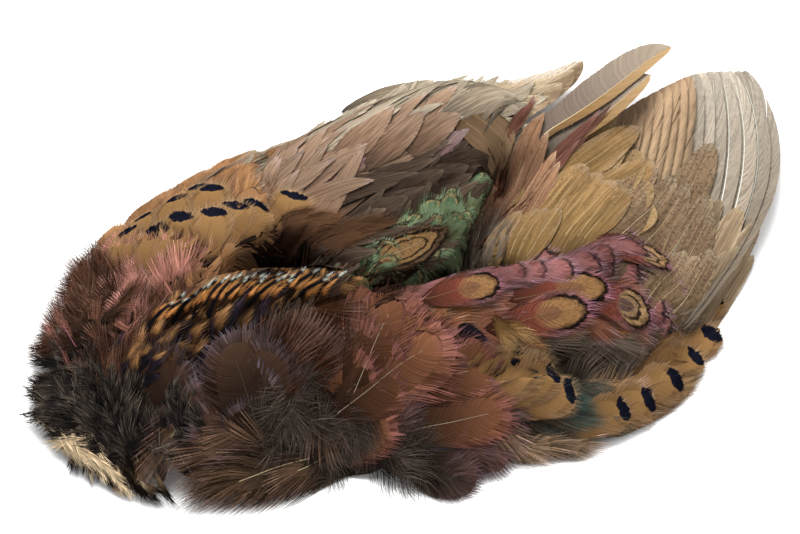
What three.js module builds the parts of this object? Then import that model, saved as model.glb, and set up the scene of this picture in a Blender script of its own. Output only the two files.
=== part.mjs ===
// Cock pheasant skin lying on its belly, neck to the left, wings folded back to the right.
// Millimetres, +Z up. The origin is on the flat underside of the dried hide, under the middle of the back.
// The plumage tracts are plain solids that reach the feather tips; the flight feathers are one blade each.
import * as THREE from 'three';
import { mergeVertices } from 'three/addons/utils/BufferGeometryUtils.js';

// Driving dimensions of the mound of plumage
const FLOOR_HEIGHT = 31;        // plumage between the crests
const EDGE_ROUND = 50;          // width of the rounded shoulder along the outline
const RIM = 4;                  // thickness of the feather edge that meets the table
const BACK_CREST_WIDTH = 68;    // half width of the ridge over the back
const WING_CREST_WIDTH = 56;    // half width of the ridge over the left wing
const CREST_BLEND = 6;          // the larger, the sharper the valleys between the crests
const SEAM = 0.5;               // each tract stops this far inside its border

// Driving dimensions of the hide under the plumage
const HIDE_SHARE = 0.27;        // hide height as a share of the plumage height
const HIDE_SINK = 2.5;          // and this much lower
const HIDE_EDGE = 34;           // the hide ends where the plumage is this high
const HIDE_STEEPNESS = 0.9;     // how fast the plumage rises from the table onto the hide
const HIDE_CENTRE = [-18, -26];

// Driving dimensions of the wings
const COVERT_DEPTH = 6.5;       // thickness of the blanket of coverts and scapulars
const QUILL_DEPTH = 13;         // flight feathers lie this far under the covert tips
const UNDERWING_DEPTH = 20;     // body plumage under a wing stops this far down
const UNDERWING_RIM = 2;
const UNDERWING_THICKNESS = 1.5; // least thickness of that plumage
const ARM_RADIUS = 3.5;
const ARM_SINK = 0.6;           // the arm's middle lies this far under the flight feathers' bed
const TERTIAL_LIFT = 7;         // tertials lie this far above the secondaries
const SHINGLE_STEP = 2.1;       // height between two neighbouring blades where they overlap
const BLADE_HALF_THICKNESS = 0.4;

// Outline of the body plumage on the table, from the neck along the near side and back
const BODY_OUTLINE = [
  [-148, -90], [-127, -106], [-104, -117], [-80, -123], [-52, -117], [-25, -106], [0, -112], [22, -113],
  [46, -101], [68, -98], [92, -88], [113, -70], [127, -50], [133, -26], [128, 10], [110, 47], [78, 84],
  [44, 102], [12, 103], [-17, 90], [-48, 68], [-80, 51], [-104, 34], [-131, 8], [-148, -26], [-156, -54],
  [-153, -78],
];

const OUTLINE_POINTS = BODY_OUTLINE.map(([x, y]) => new THREE.Vector3(x, y, 0));
const OUTLINE_CURVE = new THREE.CatmullRomCurve3(OUTLINE_POINTS, true);
const SMOOTH_OUTLINE = OUTLINE_CURVE.getPoints(108).map(({ x, y }) => [x, y]);

// Crest lines of the mound: x, y and height
const BACK_CREST = [
  [-128, -78, 46], [-84, -54, 59], [-34, -42, 61], [0, -46, 57], [30, -38, 52], [67, -30, 46],
  [108, -24, 34],
];
const WING_CREST = [[-110, -5, 50], [-63, 8, 54], [-21, 31, 52], [21, 54, 45], [54, 70, 32]];

// Feather tracts seen from above, each a polygon that is star-shaped about its own middle
const TRACTS = {
  neck_hackle: [
    [-152, -78], [-154, -59], [-122, -71], [-105, -79], [-99, -87], [-105, -104], [-105, -110],
    [-128, -96], [-147, -85],
  ],
  neck_ring: [[-147, -86], [-128, -97], [-103, -112], [-100, -118], [-127, -105], [-146, -90]],
  left_breast_plumage: [
    [-155, -56], [-147, -26], [-130, 7], [-119, -9], [-88, -20], [-74, -37], [-101, -50],
    [-122, -70],
  ],
  mantle_plumage: [
    [-121, -71], [-101, -51], [-73, -38], [-33, -37], [-7, -45], [-20, -52], [-50, -57],
    [-84, -74], [-99, -86], [-105, -79],
  ],
  right_breast_plumage: [
    [-99, -88], [-84, -75], [-50, -58], [-20, -53], [-6, -48], [25, -69], [42, -76], [52, -85],
    [50, -99], [22, -112], [0, -111], [-25, -105], [-52, -116], [-80, -122], [-98, -117],
    [-104, -105],
  ],
  left_flank_plumage: [
    [-130, 8], [-103, 33], [-79, 50], [-60, 60], [-59, 36], [-57, 8], [-51, -22], [-73, -36],
    [-87, -19], [-118, -8],
  ],
  rump_plumage: [[-47, -24], [-15, -21], [33, 28], [42, 30], [24, -30], [-6, -44], [-33, -36]],
  right_flank_plumage: [
    [38, -74], [67, -70], [92, -66], [110, -62], [120, -54], [126, -50], [112, -69], [92, -87],
    [68, -97], [51, -99], [53, -86], [43, -78],
  ],
};
const RIGHT_COVERTS = [
  [-5, -47], [28, -34], [66, -23], [86, -13], [112, -14], [115, -40], [110, -58], [92, -62],
  [67, -67], [40, -71], [25, -68],
];
const LEFT_COVERTS = [
  [-50, -22], [-56, 8], [-58, 36], [-46, 56], [-14, 72], [16, 84], [42, 84], [52, 70], [35, 32],
  [-14, -19],
];
const LOWER_BACK = [
  [31, -30], [66, -20], [86, -10], [112, -12], [119, 0], [114, 24], [98, 50], [66, 76], [57, 60],
  [46, 32],
];
const LEFT_SIDE = [
  [-48, -20], [-54, 8], [-57, 60], [-46, 67], [-17, 89], [12, 102], [44, 101], [60, 90], [34, 32],
  [-14, -17],
];

// Wing bones from elbow to hand, seen from above
const RIGHT_ARM = [[24, -46], [48, -42], [75, -48], [98, -54]];
const LEFT_ARM = [[-30, -14], [-40, 8], [-45, 34]];

// Fans of flight feathers: key feathers from the innermost to the outermost, as root, bend and tip from above.
// The body is on the left of a feather's shaft where bodySide is 1, and on its right where it is -1.
const RIGHT_FAN = {
  keys: [
    { root: [48, -31], bend: [80, 15], tip: [93, 76] },
    { root: [75, -37], bend: [100, 15], tip: [110, 88] },
    { root: [96, -44], bend: [128, 25], tip: [126, 97] },
    { root: [106, -47], bend: [176, 46], tip: [143, 97] },
  ],
  names: [...numbered('right_secondary', 9), ...numbered('right_primary', 7)],
  bodySide: 1,
  innerVane: 11,
  outerVane: 7,
};
const RIGHT_TERTIALS = {
  keys: [
    { root: [31, -25], bend: [62, 22], tip: [90, 74] },
    { root: [52, -20], bend: [82, 14], tip: [101, 50] },
    { root: [74, -12], bend: [92, 2], tip: [104, 22] },
  ],
  names: numbered('right_tertial', 5),
  bodySide: 1,
  innerVane: 10,
  outerVane: 10,
};
const LEFT_FAN = {
  keys: [
    { root: [-20, -2], bend: [15, 20], tip: [46, 46] },
    { root: [-28, 12], bend: [10, 47], tip: [60, 74] },
    { root: [-34, 32], bend: [17, 72], tip: [80, 97] },
  ],
  names: [...numbered('left_secondary', 4), ...numbered('left_primary', 5)],
  bodySide: -1,
  innerVane: 6.5,
  outerVane: 5,
};
const TAIL_COVERTS = {
  keys: [
    { root: [45, 36], bend: [74, 70], tip: [113, 102] },
    { root: [54, 34], bend: [80, 62], tip: [104, 86] },
  ],
  names: ['worn_tail_covert', 'short_tail_covert'],
  bodySide: 1,
  innerVane: 9,
  outerVane: 9,
};
const TAIL_COVERT_DEPTH = 3;    // under the plumage height at the root
const TAIL_COVERT_HOVER = 22;   // height at the free tip
const RIGHT_TIP_HEIGHT = 7;     // wing tips lie this far above the table
const LEFT_TIP_HEIGHT = 7.5;

// Vane outline of a flight feather: place along the shaft and share of the full vane width
const VANE = [
  [0, 0.12], [0.08, 0.36], [0.16, 0.58], [0.25, 0.8], [0.34, 0.94], [0.43, 1], [0.52, 1], [0.61, 0.99],
  [0.7, 0.96], [0.79, 0.89], [0.88, 0.74], [0.95, 0.5], [1, 0.14],
];

// Plumage colours
const COLOURS = {
  neck: 0x2b2019, ring: 0xd9c49a, breast: 0x5a2c1d, mantle: 0xb26c2c, flank: 0xb07f45, rump: 0x6f8a63,
  covert: 0x8a4a45, wing: 0x8a7150, quill: 0x9a8465, hide: 0xcfae7d,
};

// A list of numbered names
function numbered(stem, count) {
  return Array.from({ length: count }, (_, i) => `${stem}_${i + 1}`);
}

// Distance from a point to the nearest place on an open line, with the height interpolated there
function nearestOnLine(x, y, line) {
  let best = { distance: Infinity, height: 0 };
  for (let i = 0; i + 1 < line.length; i++) {
    const [ax, ay, az = 0] = line[i];
    const [bx, by, bz = 0] = line[i + 1];
    const share = ((x - ax) * (bx - ax) + (y - ay) * (by - ay)) / ((bx - ax) ** 2 + (by - ay) ** 2);
    const t = THREE.MathUtils.clamp(share, 0, 1);
    const distance = Math.hypot(x - ax - t * (bx - ax), y - ay - t * (by - ay));
    if (distance < best.distance) best = { distance, height: az + t * (bz - az) };
  }
  return best;
}

// True if a point is inside a closed outline
function isInside(x, y, outline) {
  let inside = false;
  outline.forEach(([ax, ay], i) => {
    const [bx, by] = outline[(i + 1) % outline.length];
    if (ay > y !== by > y && x < ax + ((y - ay) * (bx - ax)) / (by - ay)) inside = !inside;
  });
  return inside;
}

// Height of one rounded ridge at a point
function ridge(x, y, crest, halfWidth) {
  const { distance, height } = nearestOnLine(x, y, crest);
  return height * Math.max(0, 1 - (distance / halfWidth) ** 2);
}

// Height of the outer surface of the plumage above the table
function plumage(x, y) {
  const rimDistance = isInside(x, y, SMOOTH_OUTLINE) ? nearestOnLine(x, y, SMOOTH_OUTLINE).distance : 0;
  const shoulder = 1 - (1 - Math.min(rimDistance / EDGE_ROUND, 1)) ** 2;
  const back = ridge(x, y, BACK_CREST, BACK_CREST_WIDTH);
  const wing = ridge(x, y, WING_CREST, WING_CREST_WIDTH);
  const powers = [FLOOR_HEIGHT, back, wing].map((height) => height ** CREST_BLEND);
  const blended = (powers[0] + powers[1] + powers[2]) ** (1 / CREST_BLEND);
  return Math.max(RIM, shoulder * blended);
}

// Underside of the plumage that lies straight on the hide, or on the table outside it
function plumageUnderside(x, y) {
  const height = plumage(x, y);
  return Math.max(0, Math.min(HIDE_STEEPNESS * (height - HIDE_EDGE / 2), HIDE_SHARE * height));
}

// The larger of two heights, with a soft change between them
function softMax(a, b, softness = 6) {
  return (a + b + Math.hypot(a - b, softness)) / 2;
}

// Beds on which the blades lie
const rightBed = (x, y) => softMax(plumage(x, y) - QUILL_DEPTH, RIGHT_TIP_HEIGHT);
const leftBed = (x, y) => softMax(plumage(x, y) - QUILL_DEPTH, LEFT_TIP_HEIGHT);
const tertialBed = (x, y) => rightBed(x, y) + TERTIAL_LIFT;
const tailCovertBed = (x, y) => softMax(plumage(x, y) - TAIL_COVERT_DEPTH, TAIL_COVERT_HOVER);

// A closed solid from rings of points: the rings are joined in turn, and both ends are closed by a flat fan.
// A thin solid has every second side split along its other diagonal, so that its two faces stay parallel.
function loft(rings, thin = false) {
  const count = rings[0].length;
  const index = [];
  for (let r = 0; r + 1 < rings.length; r++) {
    for (let i = 0; i < count; i++) {
      const [a, b] = [r * count + i, r * count + ((i + 1) % count)];
      const [c, d] = [b + count, a + count];
      if (thin && i % 2 === 1) index.push(a, b, d, b, c, d);
      else index.push(a, b, c, a, c, d);
    }
  }
  const last = (rings.length - 1) * count;
  for (let i = 1; i + 1 < count; i++) {
    index.push(0, i + 1, i, last, last + i, last + i + 1);
  }
  const geometry = new THREE.BufferGeometry().setFromPoints(rings.flat());
  geometry.setIndex(index);
  return geometry;
}

// An outline moved inwards by a small gap, so that neighbouring tracts stay clear of each other
function inset(outline, gap) {
  const side = THREE.ShapeUtils.area(outline.map(([x, y]) => new THREE.Vector2(x, y))) > 0 ? 1 : -1;
  return outline.map((point, i) => {
    const here = new THREE.Vector2(...point);
    const before = here.clone().sub(new THREE.Vector2(...outline.at(i - 1))).normalize();
    const after = new THREE.Vector2(...outline[(i + 1) % outline.length]).sub(here).normalize();
    const inwards = new THREE.Vector2(-before.y - after.y, before.x + after.x).normalize();
    const reach = gap / Math.max(0.5, inwards.dot(new THREE.Vector2(-before.y, before.x)));
    return here.addScaledVector(inwards, side * reach).toArray();
  });
}

// Points along a closed outline, no further apart than the spacing, anticlockwise from above
function outlinePoints(outline, spacing) {
  const points = outline.flatMap(([ax, ay], i) => {
    const [bx, by] = outline[(i + 1) % outline.length];
    const [start, end] = [new THREE.Vector2(ax, ay), new THREE.Vector2(bx, by)];
    const steps = Math.max(1, Math.round(start.distanceTo(end) / spacing));
    return Array.from({ length: steps }, (_, k) => start.clone().lerp(end, k / steps));
  });
  return THREE.ShapeUtils.isClockWise(points) ? points.reverse() : points;
}

// A solid over a star-shaped outline, between two height functions
function patch(outline, low, high, spacing = 16, ringCount = 4) {
  const border = outlinePoints(outline, spacing);
  const middle = border.reduce((sum, p) => sum.add(p), new THREE.Vector2()).divideScalar(border.length);
  const ring = (share, height) => border.map((p) => {
    const q = middle.clone().lerp(p, share);
    return new THREE.Vector3(q.x, q.y, height(q.x, q.y));
  });
  const shares = Array.from({ length: ringCount }, (_, k) => (k + 0.35) / (ringCount - 0.65));
  const under = shares.map((share) => ring(share, low));
  const over = shares.map((share) => ring(share, high)).reverse();
  return loft([...under, ...over]);
}

// The dried hide: a low mound with a flat underside, out to where the plumage thins
function hide() {
  const directions = 36;
  const [cx, cy] = HIDE_CENTRE;
  const outline = Array.from({ length: directions }, (_, k) => {
    const angle = (2 * Math.PI * k) / directions;
    let reach = 20;
    while (plumage(cx + reach * Math.cos(angle), cy + reach * Math.sin(angle)) > HIDE_EDGE) reach += 0.5;
    return [cx + reach * Math.cos(angle), cy + reach * Math.sin(angle)];
  });
  return patch(outline, () => 0, (x, y) => HIDE_SHARE * plumage(x, y) - HIDE_SINK, 1000, 6);
}

// The feather at a place in a fan, with its root, bend and tip between those of the key feathers
function featherInFan(keys, share) {
  const between = (end) => {
    const line = new THREE.SplineCurve(keys.map((key) => new THREE.Vector2(...key[end])));
    return line.getPoint(share);
  };
  return new THREE.QuadraticBezierCurve(between('root'), between('bend'), between('tip'));
}

// One flight feather: a thin blade along its shaft, tilted so that it tucks under its inner neighbour
function blade(fan, number, bed) {
  const last = fan.names.length - 1;
  const shaft = featherInFan(fan.keys, number / last);
  const [before, after] = [Math.max(number - 2, 0), Math.min(number + 2, last)];
  const [inner, outer] = [before, after].map((place) => featherInFan(fan.keys, place / last));
  const rings = VANE.map(([along, width]) => {
    const centre = shaft.getPoint(along);
    const ahead = shaft.getTangent(along);
    const inwards = new THREE.Vector2(-ahead.y, ahead.x).multiplyScalar(fan.bodySide);
    const spread = inner.getPoint(along).sub(outer.getPoint(along)).dot(inwards);
    const spacing = Math.abs(spread) / (after - before);
    const tilt = SHINGLE_STEP / Math.max(spacing, 3);
    const at = (offset, rise) => {
      const q = centre.clone().addScaledVector(inwards, offset);
      return new THREE.Vector3(q.x, q.y, bed(q.x, q.y) - tilt * offset + rise);
    };
    return [
      at(0, -BLADE_HALF_THICKNESS), at(-fan.outerVane * width, 0),
      at(0, BLADE_HALF_THICKNESS), at(fan.innerVane * width, 0),
    ];
  });
  return loft(fan.bodySide > 0 ? rings.reverse() : rings, true);
}

// A wing arm: skin over bone, a round tube along its line, sunk under the coverts
function arm(line) {
  const fromAbove = new THREE.SplineCurve(line.map((point) => new THREE.Vector2(...point))).getPoints(8);
  const path = new THREE.CatmullRomCurve3(
    fromAbove.map(({ x, y }) => new THREE.Vector3(x, y, plumage(x, y) - QUILL_DEPTH - ARM_SINK)),
  );
  const section = new THREE.Shape().absarc(0, 0, ARM_RADIUS, 0, 2 * Math.PI);
  const sweep = { steps: 10, curveSegments: 8, bevelEnabled: false, extrudePath: path };
  return new THREE.ExtrudeGeometry(section, sweep);
}

const skin = new THREE.Group();

// Adds one named piece with its own finish
function add(name, geometry, colour, roughness = 0.8) {
  geometry.deleteAttribute('normal');
  geometry.deleteAttribute('uv');
  const joined = mergeVertices(geometry);
  joined.computeVertexNormals();
  const finish = new THREE.MeshStandardMaterial({ color: colour, roughness, metalness: 0 });
  const mesh = new THREE.Mesh(joined, finish);
  mesh.name = name;
  skin.add(mesh);
}

// Adds every blade of a fan
function addFan(fan, bed, colour) {
  fan.names.forEach((name, number) => add(name, blade(fan, number, bed), colour, 0.6));
}

// Hide and body plumage
const TRACT_COLOURS = {
  neck_hackle: COLOURS.neck, neck_ring: COLOURS.ring, left_breast_plumage: COLOURS.breast,
  mantle_plumage: COLOURS.mantle, right_breast_plumage: COLOURS.breast, left_flank_plumage: COLOURS.flank,
  rump_plumage: COLOURS.rump, right_flank_plumage: COLOURS.flank,
};
add('hide', hide(), COLOURS.hide, 0.7);
for (const [name, outline] of Object.entries(TRACTS)) {
  add(name, patch(inset(outline, SEAM), plumageUnderside, plumage), TRACT_COLOURS[name]);
}

// Body plumage under the wings
const underwing = (x, y) => Math.max(UNDERWING_RIM, plumage(x, y) - UNDERWING_DEPTH);
const underwingBase = (x, y) => {
  const base = Math.min(plumageUnderside(x, y), underwing(x, y) - UNDERWING_THICKNESS);
  return Math.max(0, base);
};
add('lower_back_plumage', patch(inset(LOWER_BACK, SEAM), underwingBase, underwing), COLOURS.rump);
add('left_side_plumage', patch(inset(LEFT_SIDE, SEAM), underwingBase, underwing), COLOURS.flank);

// Wings: arm, blanket of coverts, and the fans of flight feathers
const covertUnderside = (x, y) => Math.max(0, plumage(x, y) - COVERT_DEPTH);
add('right_wing_arm', arm(RIGHT_ARM), COLOURS.hide);
add('left_wing_arm', arm(LEFT_ARM), COLOURS.hide);
add('right_wing_coverts', patch(inset(RIGHT_COVERTS, SEAM), covertUnderside, plumage), COLOURS.covert);
add('left_wing_coverts', patch(inset(LEFT_COVERTS, SEAM), covertUnderside, plumage), COLOURS.wing);
addFan(RIGHT_FAN, rightBed, COLOURS.quill);
addFan(RIGHT_TERTIALS, tertialBed, COLOURS.wing);
addFan(LEFT_FAN, leftBed, COLOURS.quill);
addFan(TAIL_COVERTS, tailCovertBed, COLOURS.quill);

export default skin;
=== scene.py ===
# %% [markdown]
# # The skin of a cock pheasant, feather by feather
#
# A bird skin is the dried hide of a bird with its plumage on. This one lies on its belly with folded
# wings and has no head and no tail. The frame holds plain solids: one for each tract of plumage and one
# for each flight feather. This lesson covers them with feathers. A contour feather is a closed sheet on
# both sides of a shaft, with a fringe of fine hairs past its edge. Painted cards or hair strands would be
# quicker, but a mesh of every feather can be measured, printed and moved to another program. All lengths
# here are millimetres, and MM turns them into Blender's metres.

# %% Load the frame
import math

import bpy
import numpy as np
from mathutils.bvhtree import BVHTree
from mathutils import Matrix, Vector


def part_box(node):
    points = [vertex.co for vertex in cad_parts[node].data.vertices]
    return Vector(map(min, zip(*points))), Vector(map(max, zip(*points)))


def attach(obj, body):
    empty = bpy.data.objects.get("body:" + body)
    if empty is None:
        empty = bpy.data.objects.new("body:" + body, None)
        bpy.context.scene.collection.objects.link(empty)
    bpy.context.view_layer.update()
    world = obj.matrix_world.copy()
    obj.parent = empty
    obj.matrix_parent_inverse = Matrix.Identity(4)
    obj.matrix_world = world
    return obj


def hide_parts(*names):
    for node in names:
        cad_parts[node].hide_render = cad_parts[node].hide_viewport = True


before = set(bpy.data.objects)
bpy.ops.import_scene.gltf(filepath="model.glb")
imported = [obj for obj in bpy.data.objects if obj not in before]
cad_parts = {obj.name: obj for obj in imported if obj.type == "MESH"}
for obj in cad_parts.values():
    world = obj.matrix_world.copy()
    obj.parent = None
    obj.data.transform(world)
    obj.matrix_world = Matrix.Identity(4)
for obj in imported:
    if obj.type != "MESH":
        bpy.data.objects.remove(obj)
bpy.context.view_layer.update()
MM = 0.001
SEED = 11
chance = np.random.default_rng(SEED)
print("nodes in the frame:", len(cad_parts))

# %% [markdown]
# ## Camera
#
# The camera looks down on the back at 55 degrees with a long lens, which keeps the skin free of
# perspective. The same numbers give two helpers: one finds where a point shows in the 800 x 534 picture,
# the other sends a ray through a pixel. Feathers that the picture shows clearly are placed with them.

# %% Camera and its two helpers
PICTURE_SIZE = np.array([800, 534])
CAMERA_TILT = math.radians(55)
CAMERA_DISTANCE = 2000
MM_PER_PIXEL = 0.42
SENSOR = 36

eye = np.array([0, -math.cos(CAMERA_TILT), math.sin(CAMERA_TILT)]) * CAMERA_DISTANCE
look = -eye / CAMERA_DISTANCE
picture_up = np.array([0, math.sin(CAMERA_TILT), math.cos(CAMERA_TILT)])
pixels_per_unit = CAMERA_DISTANCE / MM_PER_PIXEL

camera = bpy.data.objects.new("camera", bpy.data.cameras.new("camera"))
camera.location = eye * MM
camera.rotation_euler = (math.pi / 2 - CAMERA_TILT, 0, 0)
camera.data.sensor_width = SENSOR
camera.data.lens = SENSOR * CAMERA_DISTANCE / (PICTURE_SIZE[0] * MM_PER_PIXEL)
bpy.context.collection.objects.link(camera)
bpy.context.scene.camera = camera


def to_picture(points):
    """Pixels where points in space show."""
    depth = (points - eye) @ look
    right = PICTURE_SIZE[0] / 2 + pixels_per_unit * points[..., 0] / depth
    down = PICTURE_SIZE[1] / 2 - pixels_per_unit * (points @ picture_up) / depth
    return np.stack([right, down], -1)


def through_pixel(pixel):
    """Direction of the ray from the eye through a pixel."""
    across, down = np.asarray(pixel) - PICTURE_SIZE / 2
    ray = look * pixels_per_unit + np.array([across, 0, 0]) - down * picture_up
    return ray / np.linalg.norm(ray)


print("lens:", round(camera.data.lens, 1), "mm")

# %% [markdown]
# ## What the feathers lie on
#
# Every feather needs the height of the plumage under it. Rays dropped on a fine grid turn the solids into
# two height maps: one of the body and the coverts, and one that has the flight feathers as well. A slight
# blur lets feathers drape over the steps between the solids, and a few hollows break up the smooth mound,
# where the tracts of a real skin part. The meshes of the solids could be asked for every single point, but
# a map is quicker and has no steps.

# %% Height maps
GRID = 1.5
GRID_LOW = np.array([-180.0, -150.0])
GRID_COUNT = np.array([244, 190])
DROP_HEIGHT = 200
TABLE_CLEARANCE = 0.4
EDGE_BLUR, SLOPE_BLUR = 1.5, 3
BLUR_REACH = 3
LEAST_COVER_SHARE = 0.05
RELIEF_WIDTH, RELIEF_HEIGHT = 7, 0.7
FULL_RELIEF_FROM = 15
INSIDE_GRID = 1.001

FLIGHT_WORDS = ("secondary", "primary", "tertial", "tail_covert")
SKIN_NODES = ("hide", "right_wing_arm", "left_wing_arm")
flight_nodes = [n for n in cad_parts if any(word in n for word in FLIGHT_WORDS)]
tract_nodes = [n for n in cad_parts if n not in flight_nodes and n not in SKIN_NODES]


def node_points(name):
    """Corners of a solid in millimetres."""
    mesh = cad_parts[name].data
    points = np.empty(len(mesh.vertices) * 3)
    mesh.vertices.foreach_get("co", points)
    return points.reshape(-1, 3) / MM


def solid_tree(names):
    """A tree for ray casts at several solids, and the number of the solid behind each of its faces."""
    points, faces, owner, start = [], [], [], 0
    for number, name in enumerate(names):
        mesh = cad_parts[name].data
        points.append(node_points(name))
        mesh.calc_loop_triangles()
        faces += [[start + v for v in t.vertices] for t in mesh.loop_triangles]
        owner += [number] * len(mesh.loop_triangles)
        start += len(mesh.vertices)
    return BVHTree.FromPolygons(np.vstack(points).tolist(), faces), np.array(owner)


def blurred(values, width):
    """Every cell takes the mean of its surroundings."""
    reach = int(BLUR_REACH * width / GRID) + 1
    kernel = np.exp(-0.5 * (np.arange(-reach, reach + 1) * GRID / width) ** 2)
    kernel /= kernel.sum()
    for axis in (0, 1):
        values = np.apply_along_axis(np.convolve, axis, values, kernel, "same")
    return values


def widened(values, reach):
    """Every cell takes the highest value within reach."""
    for axis in (0, 1):
        values = np.max([np.roll(values, step, axis) for step in range(-reach, reach + 1)], axis=0)
    return values


class Carrier:
    """The height of what feathers lie on, seen from above."""

    def __init__(self, names, blur, groove, hollows):
        tree, owner = solid_tree(names)
        self.names = names
        self.height = np.zeros(GRID_COUNT)
        self.owner = np.full(GRID_COUNT, -1)
        for i, j in np.ndindex(*GRID_COUNT):
            x, y = GRID_LOW + GRID * np.array([i, j])
            hit, _, face, _ = tree.ray_cast((x, y, DROP_HEIGHT), (0, 0, -1))
            if hit:
                self.height[i, j] = hit.z
                self.owner[i, j] = owner[face]
        cover = (self.owner >= 0).astype(float)
        filled = -widened(-widened(self.height, groove), groove) * cover
        soft = blurred(filled, blur) / np.maximum(blurred(cover, blur), LEAST_COVER_SHARE)
        self.height = blurred(np.maximum(soft * cover, blurred(filled, blur)), EDGE_BLUR)
        self.inside = blurred(cover, EDGE_BLUR)
        x, y = self.grid_xy()
        for (cx, cy), radius, depth in hollows:
            self.height -= depth * np.exp(-((x - cx) ** 2 + (y - cy) ** 2) / radius ** 2)
        bumps = blurred(chance.normal(0, 1, GRID_COUNT), RELIEF_WIDTH)
        relief = RELIEF_HEIGHT * bumps / bumps.std()
        self.height += relief * np.clip(self.height / FULL_RELIEF_FROM, 0, 1)
        self.slope_x, self.slope_y = np.gradient(blurred(self.height, SLOPE_BLUR), GRID)

    def grid_xy(self):
        steps = [GRID_LOW[a] + GRID * np.arange(GRID_COUNT[a]) for a in (0, 1)]
        return np.meshgrid(*steps, indexing="ij")

    def sample(self, field, xy):
        place = np.clip((xy - GRID_LOW) / GRID, 0, GRID_COUNT - INSIDE_GRID)
        cell = place.astype(int)
        share = place - cell
        i, j = cell[..., 0], cell[..., 1]
        s, t = share[..., 0], share[..., 1]
        near = field[i, j] * (1 - s) + field[i + 1, j] * s
        far = field[i, j + 1] * (1 - s) + field[i + 1, j + 1] * s
        return near * (1 - t) + far * t

    def at(self, xy):
        return np.maximum(self.sample(self.height, xy), TABLE_CLEARANCE)

    def slope(self, xy):
        return np.stack([self.sample(self.slope_x, xy), self.sample(self.slope_y, xy)], -1)


all_tree = solid_tree(tract_nodes + flight_nodes)[0]
RAY_TOP = 80
RAY_STEPS = np.linspace(0, 1, 500)[:, None]


def under_pixel(pixel):
    """The point of the solids, or else of the table, that shows at a pixel."""
    hit = all_tree.ray_cast(eye.tolist(), through_pixel(pixel).tolist())[0]
    if hit:
        return np.array(hit)
    ray = through_pixel(pixel)
    return eye - ray * eye[2] / ray[2]


def on_carrier(carrier, pixel):
    """Where the ray through a pixel first meets a height map, seen from above."""
    ray = through_pixel(pixel)
    far = (RAY_TOP - eye[2]) / ray[2], -eye[2] / ray[2]
    points = eye + ray * (far[0] + (far[1] - far[0]) * RAY_STEPS)
    below = points[:, 2] <= carrier.at(points[:, :2])
    return points[np.argmax(below) if below.any() else -1, :2]


# Picture pixel, radius and depth of each hollow
HOLLOW_PIXELS = [
    ((222, 258), 9, 6), ((305, 425), 13, 5), ((345, 462), 10, 5), ((500, 335), 7, 4), ((290, 372), 7, 3),
    ((150, 400), 9, 4), ((430, 300), 8, 3), ((420, 250), 12, 3), ((475, 375), 7, 3), ((520, 440), 8, 4),
]
hollows = [(under_pixel(pixel)[:2], radius, depth) for pixel, radius, depth in HOLLOW_PIXELS]
body = Carrier(tract_nodes, blur=4.5, groove=7, hollows=hollows)
outside = Carrier(tract_nodes + flight_nodes, blur=4.0, groove=2, hollows=hollows)
print("highest plumage:", round(body.height.max(), 1), "mm")

# %% [markdown]
# ## One feather, many times
#
# A vane is hundreds of barbs that hook into each other near the shaft and come apart at the edge. So a
# contour feather is made of a closed sheet on both sides of the shaft, whose ribs follow the barbs, and a
# fringe of fine hairs that carries the barbs on past the sheet's edge. A flight feather stays closed to
# the edge, and is a dense row of strips instead. Both patterns are worked out flat, for all feathers of a
# kind at once.

# %% Barb pattern
BARB_STEPS = np.array([0.0, 0.35, 0.7, 1.0])
SWEEP_ALONG, SWEEP_ACROSS = 1.35, 0.75
HAIR_TAPER = np.array([1.0, 0.8, 0.1])
HAIR_COURSE = np.linspace(0, 1, len(HAIR_TAPER))
SHEET_COURSE = np.array([0.0, 0.5, 1.0])
LOCK_SHARE = 0.55
HAIR_MIDDLE = 0.55
ROOT_ROUND = 0.6
SHARES = np.linspace(0, 1, 201)


def vane_outline(along, widest, tip_power, tip_round):
    """Half width of a vane, 1 at its widest place."""
    rise = np.clip(along / widest, 0, 1) ** ROOT_ROUND
    fall = np.clip((along - widest) / (1 - widest), 0, 1)
    return rise * (1 - fall ** tip_power) ** tip_round


def barb_point(share, step, form):
    """Place along and across of a point on the barb that starts at a share of the shaft."""
    share = np.clip(share, 0, 1)
    base = form["bare"] + (form["shaft_end"] - form["bare"]) * share
    end = form["bare"] + form["reach"] + (1 - form["bare"] - form["reach"]) * share
    wide = vane_outline(end, form["widest"], *form["tip"])
    return np.stack([base + (end - base) * step ** SWEEP_ALONG, wide * step ** SWEEP_ACROSS], -1)


def evened(places, form):
    """Shares of the shaft whose barb ends are spread evenly along the edge of the vane."""
    edge = barb_point(SHARES, 1.0, form) * np.array([form["slender"], 1.0])
    run = np.concatenate([[0], np.cumsum(np.linalg.norm(np.diff(edge, axis=0), axis=1))])
    return np.interp(places, run / run[-1], SHARES)


def sheet_pattern(count, form):
    """Ribs of the closed sheet: feather, side, rib, step."""
    ribs = form["ribs"]
    share = evened(np.arange(ribs + 1) / ribs, form)[:, None]
    share = np.broadcast_to(share, (count, 2, ribs + 1, len(SHEET_COURSE)))
    ragged = form["core"] * (1 - form["notch"] * chance.random((count, 2, ribs + 1, 1)) ** 2)
    return barb_point(share, ragged * SHEET_COURSE, form), share


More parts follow.
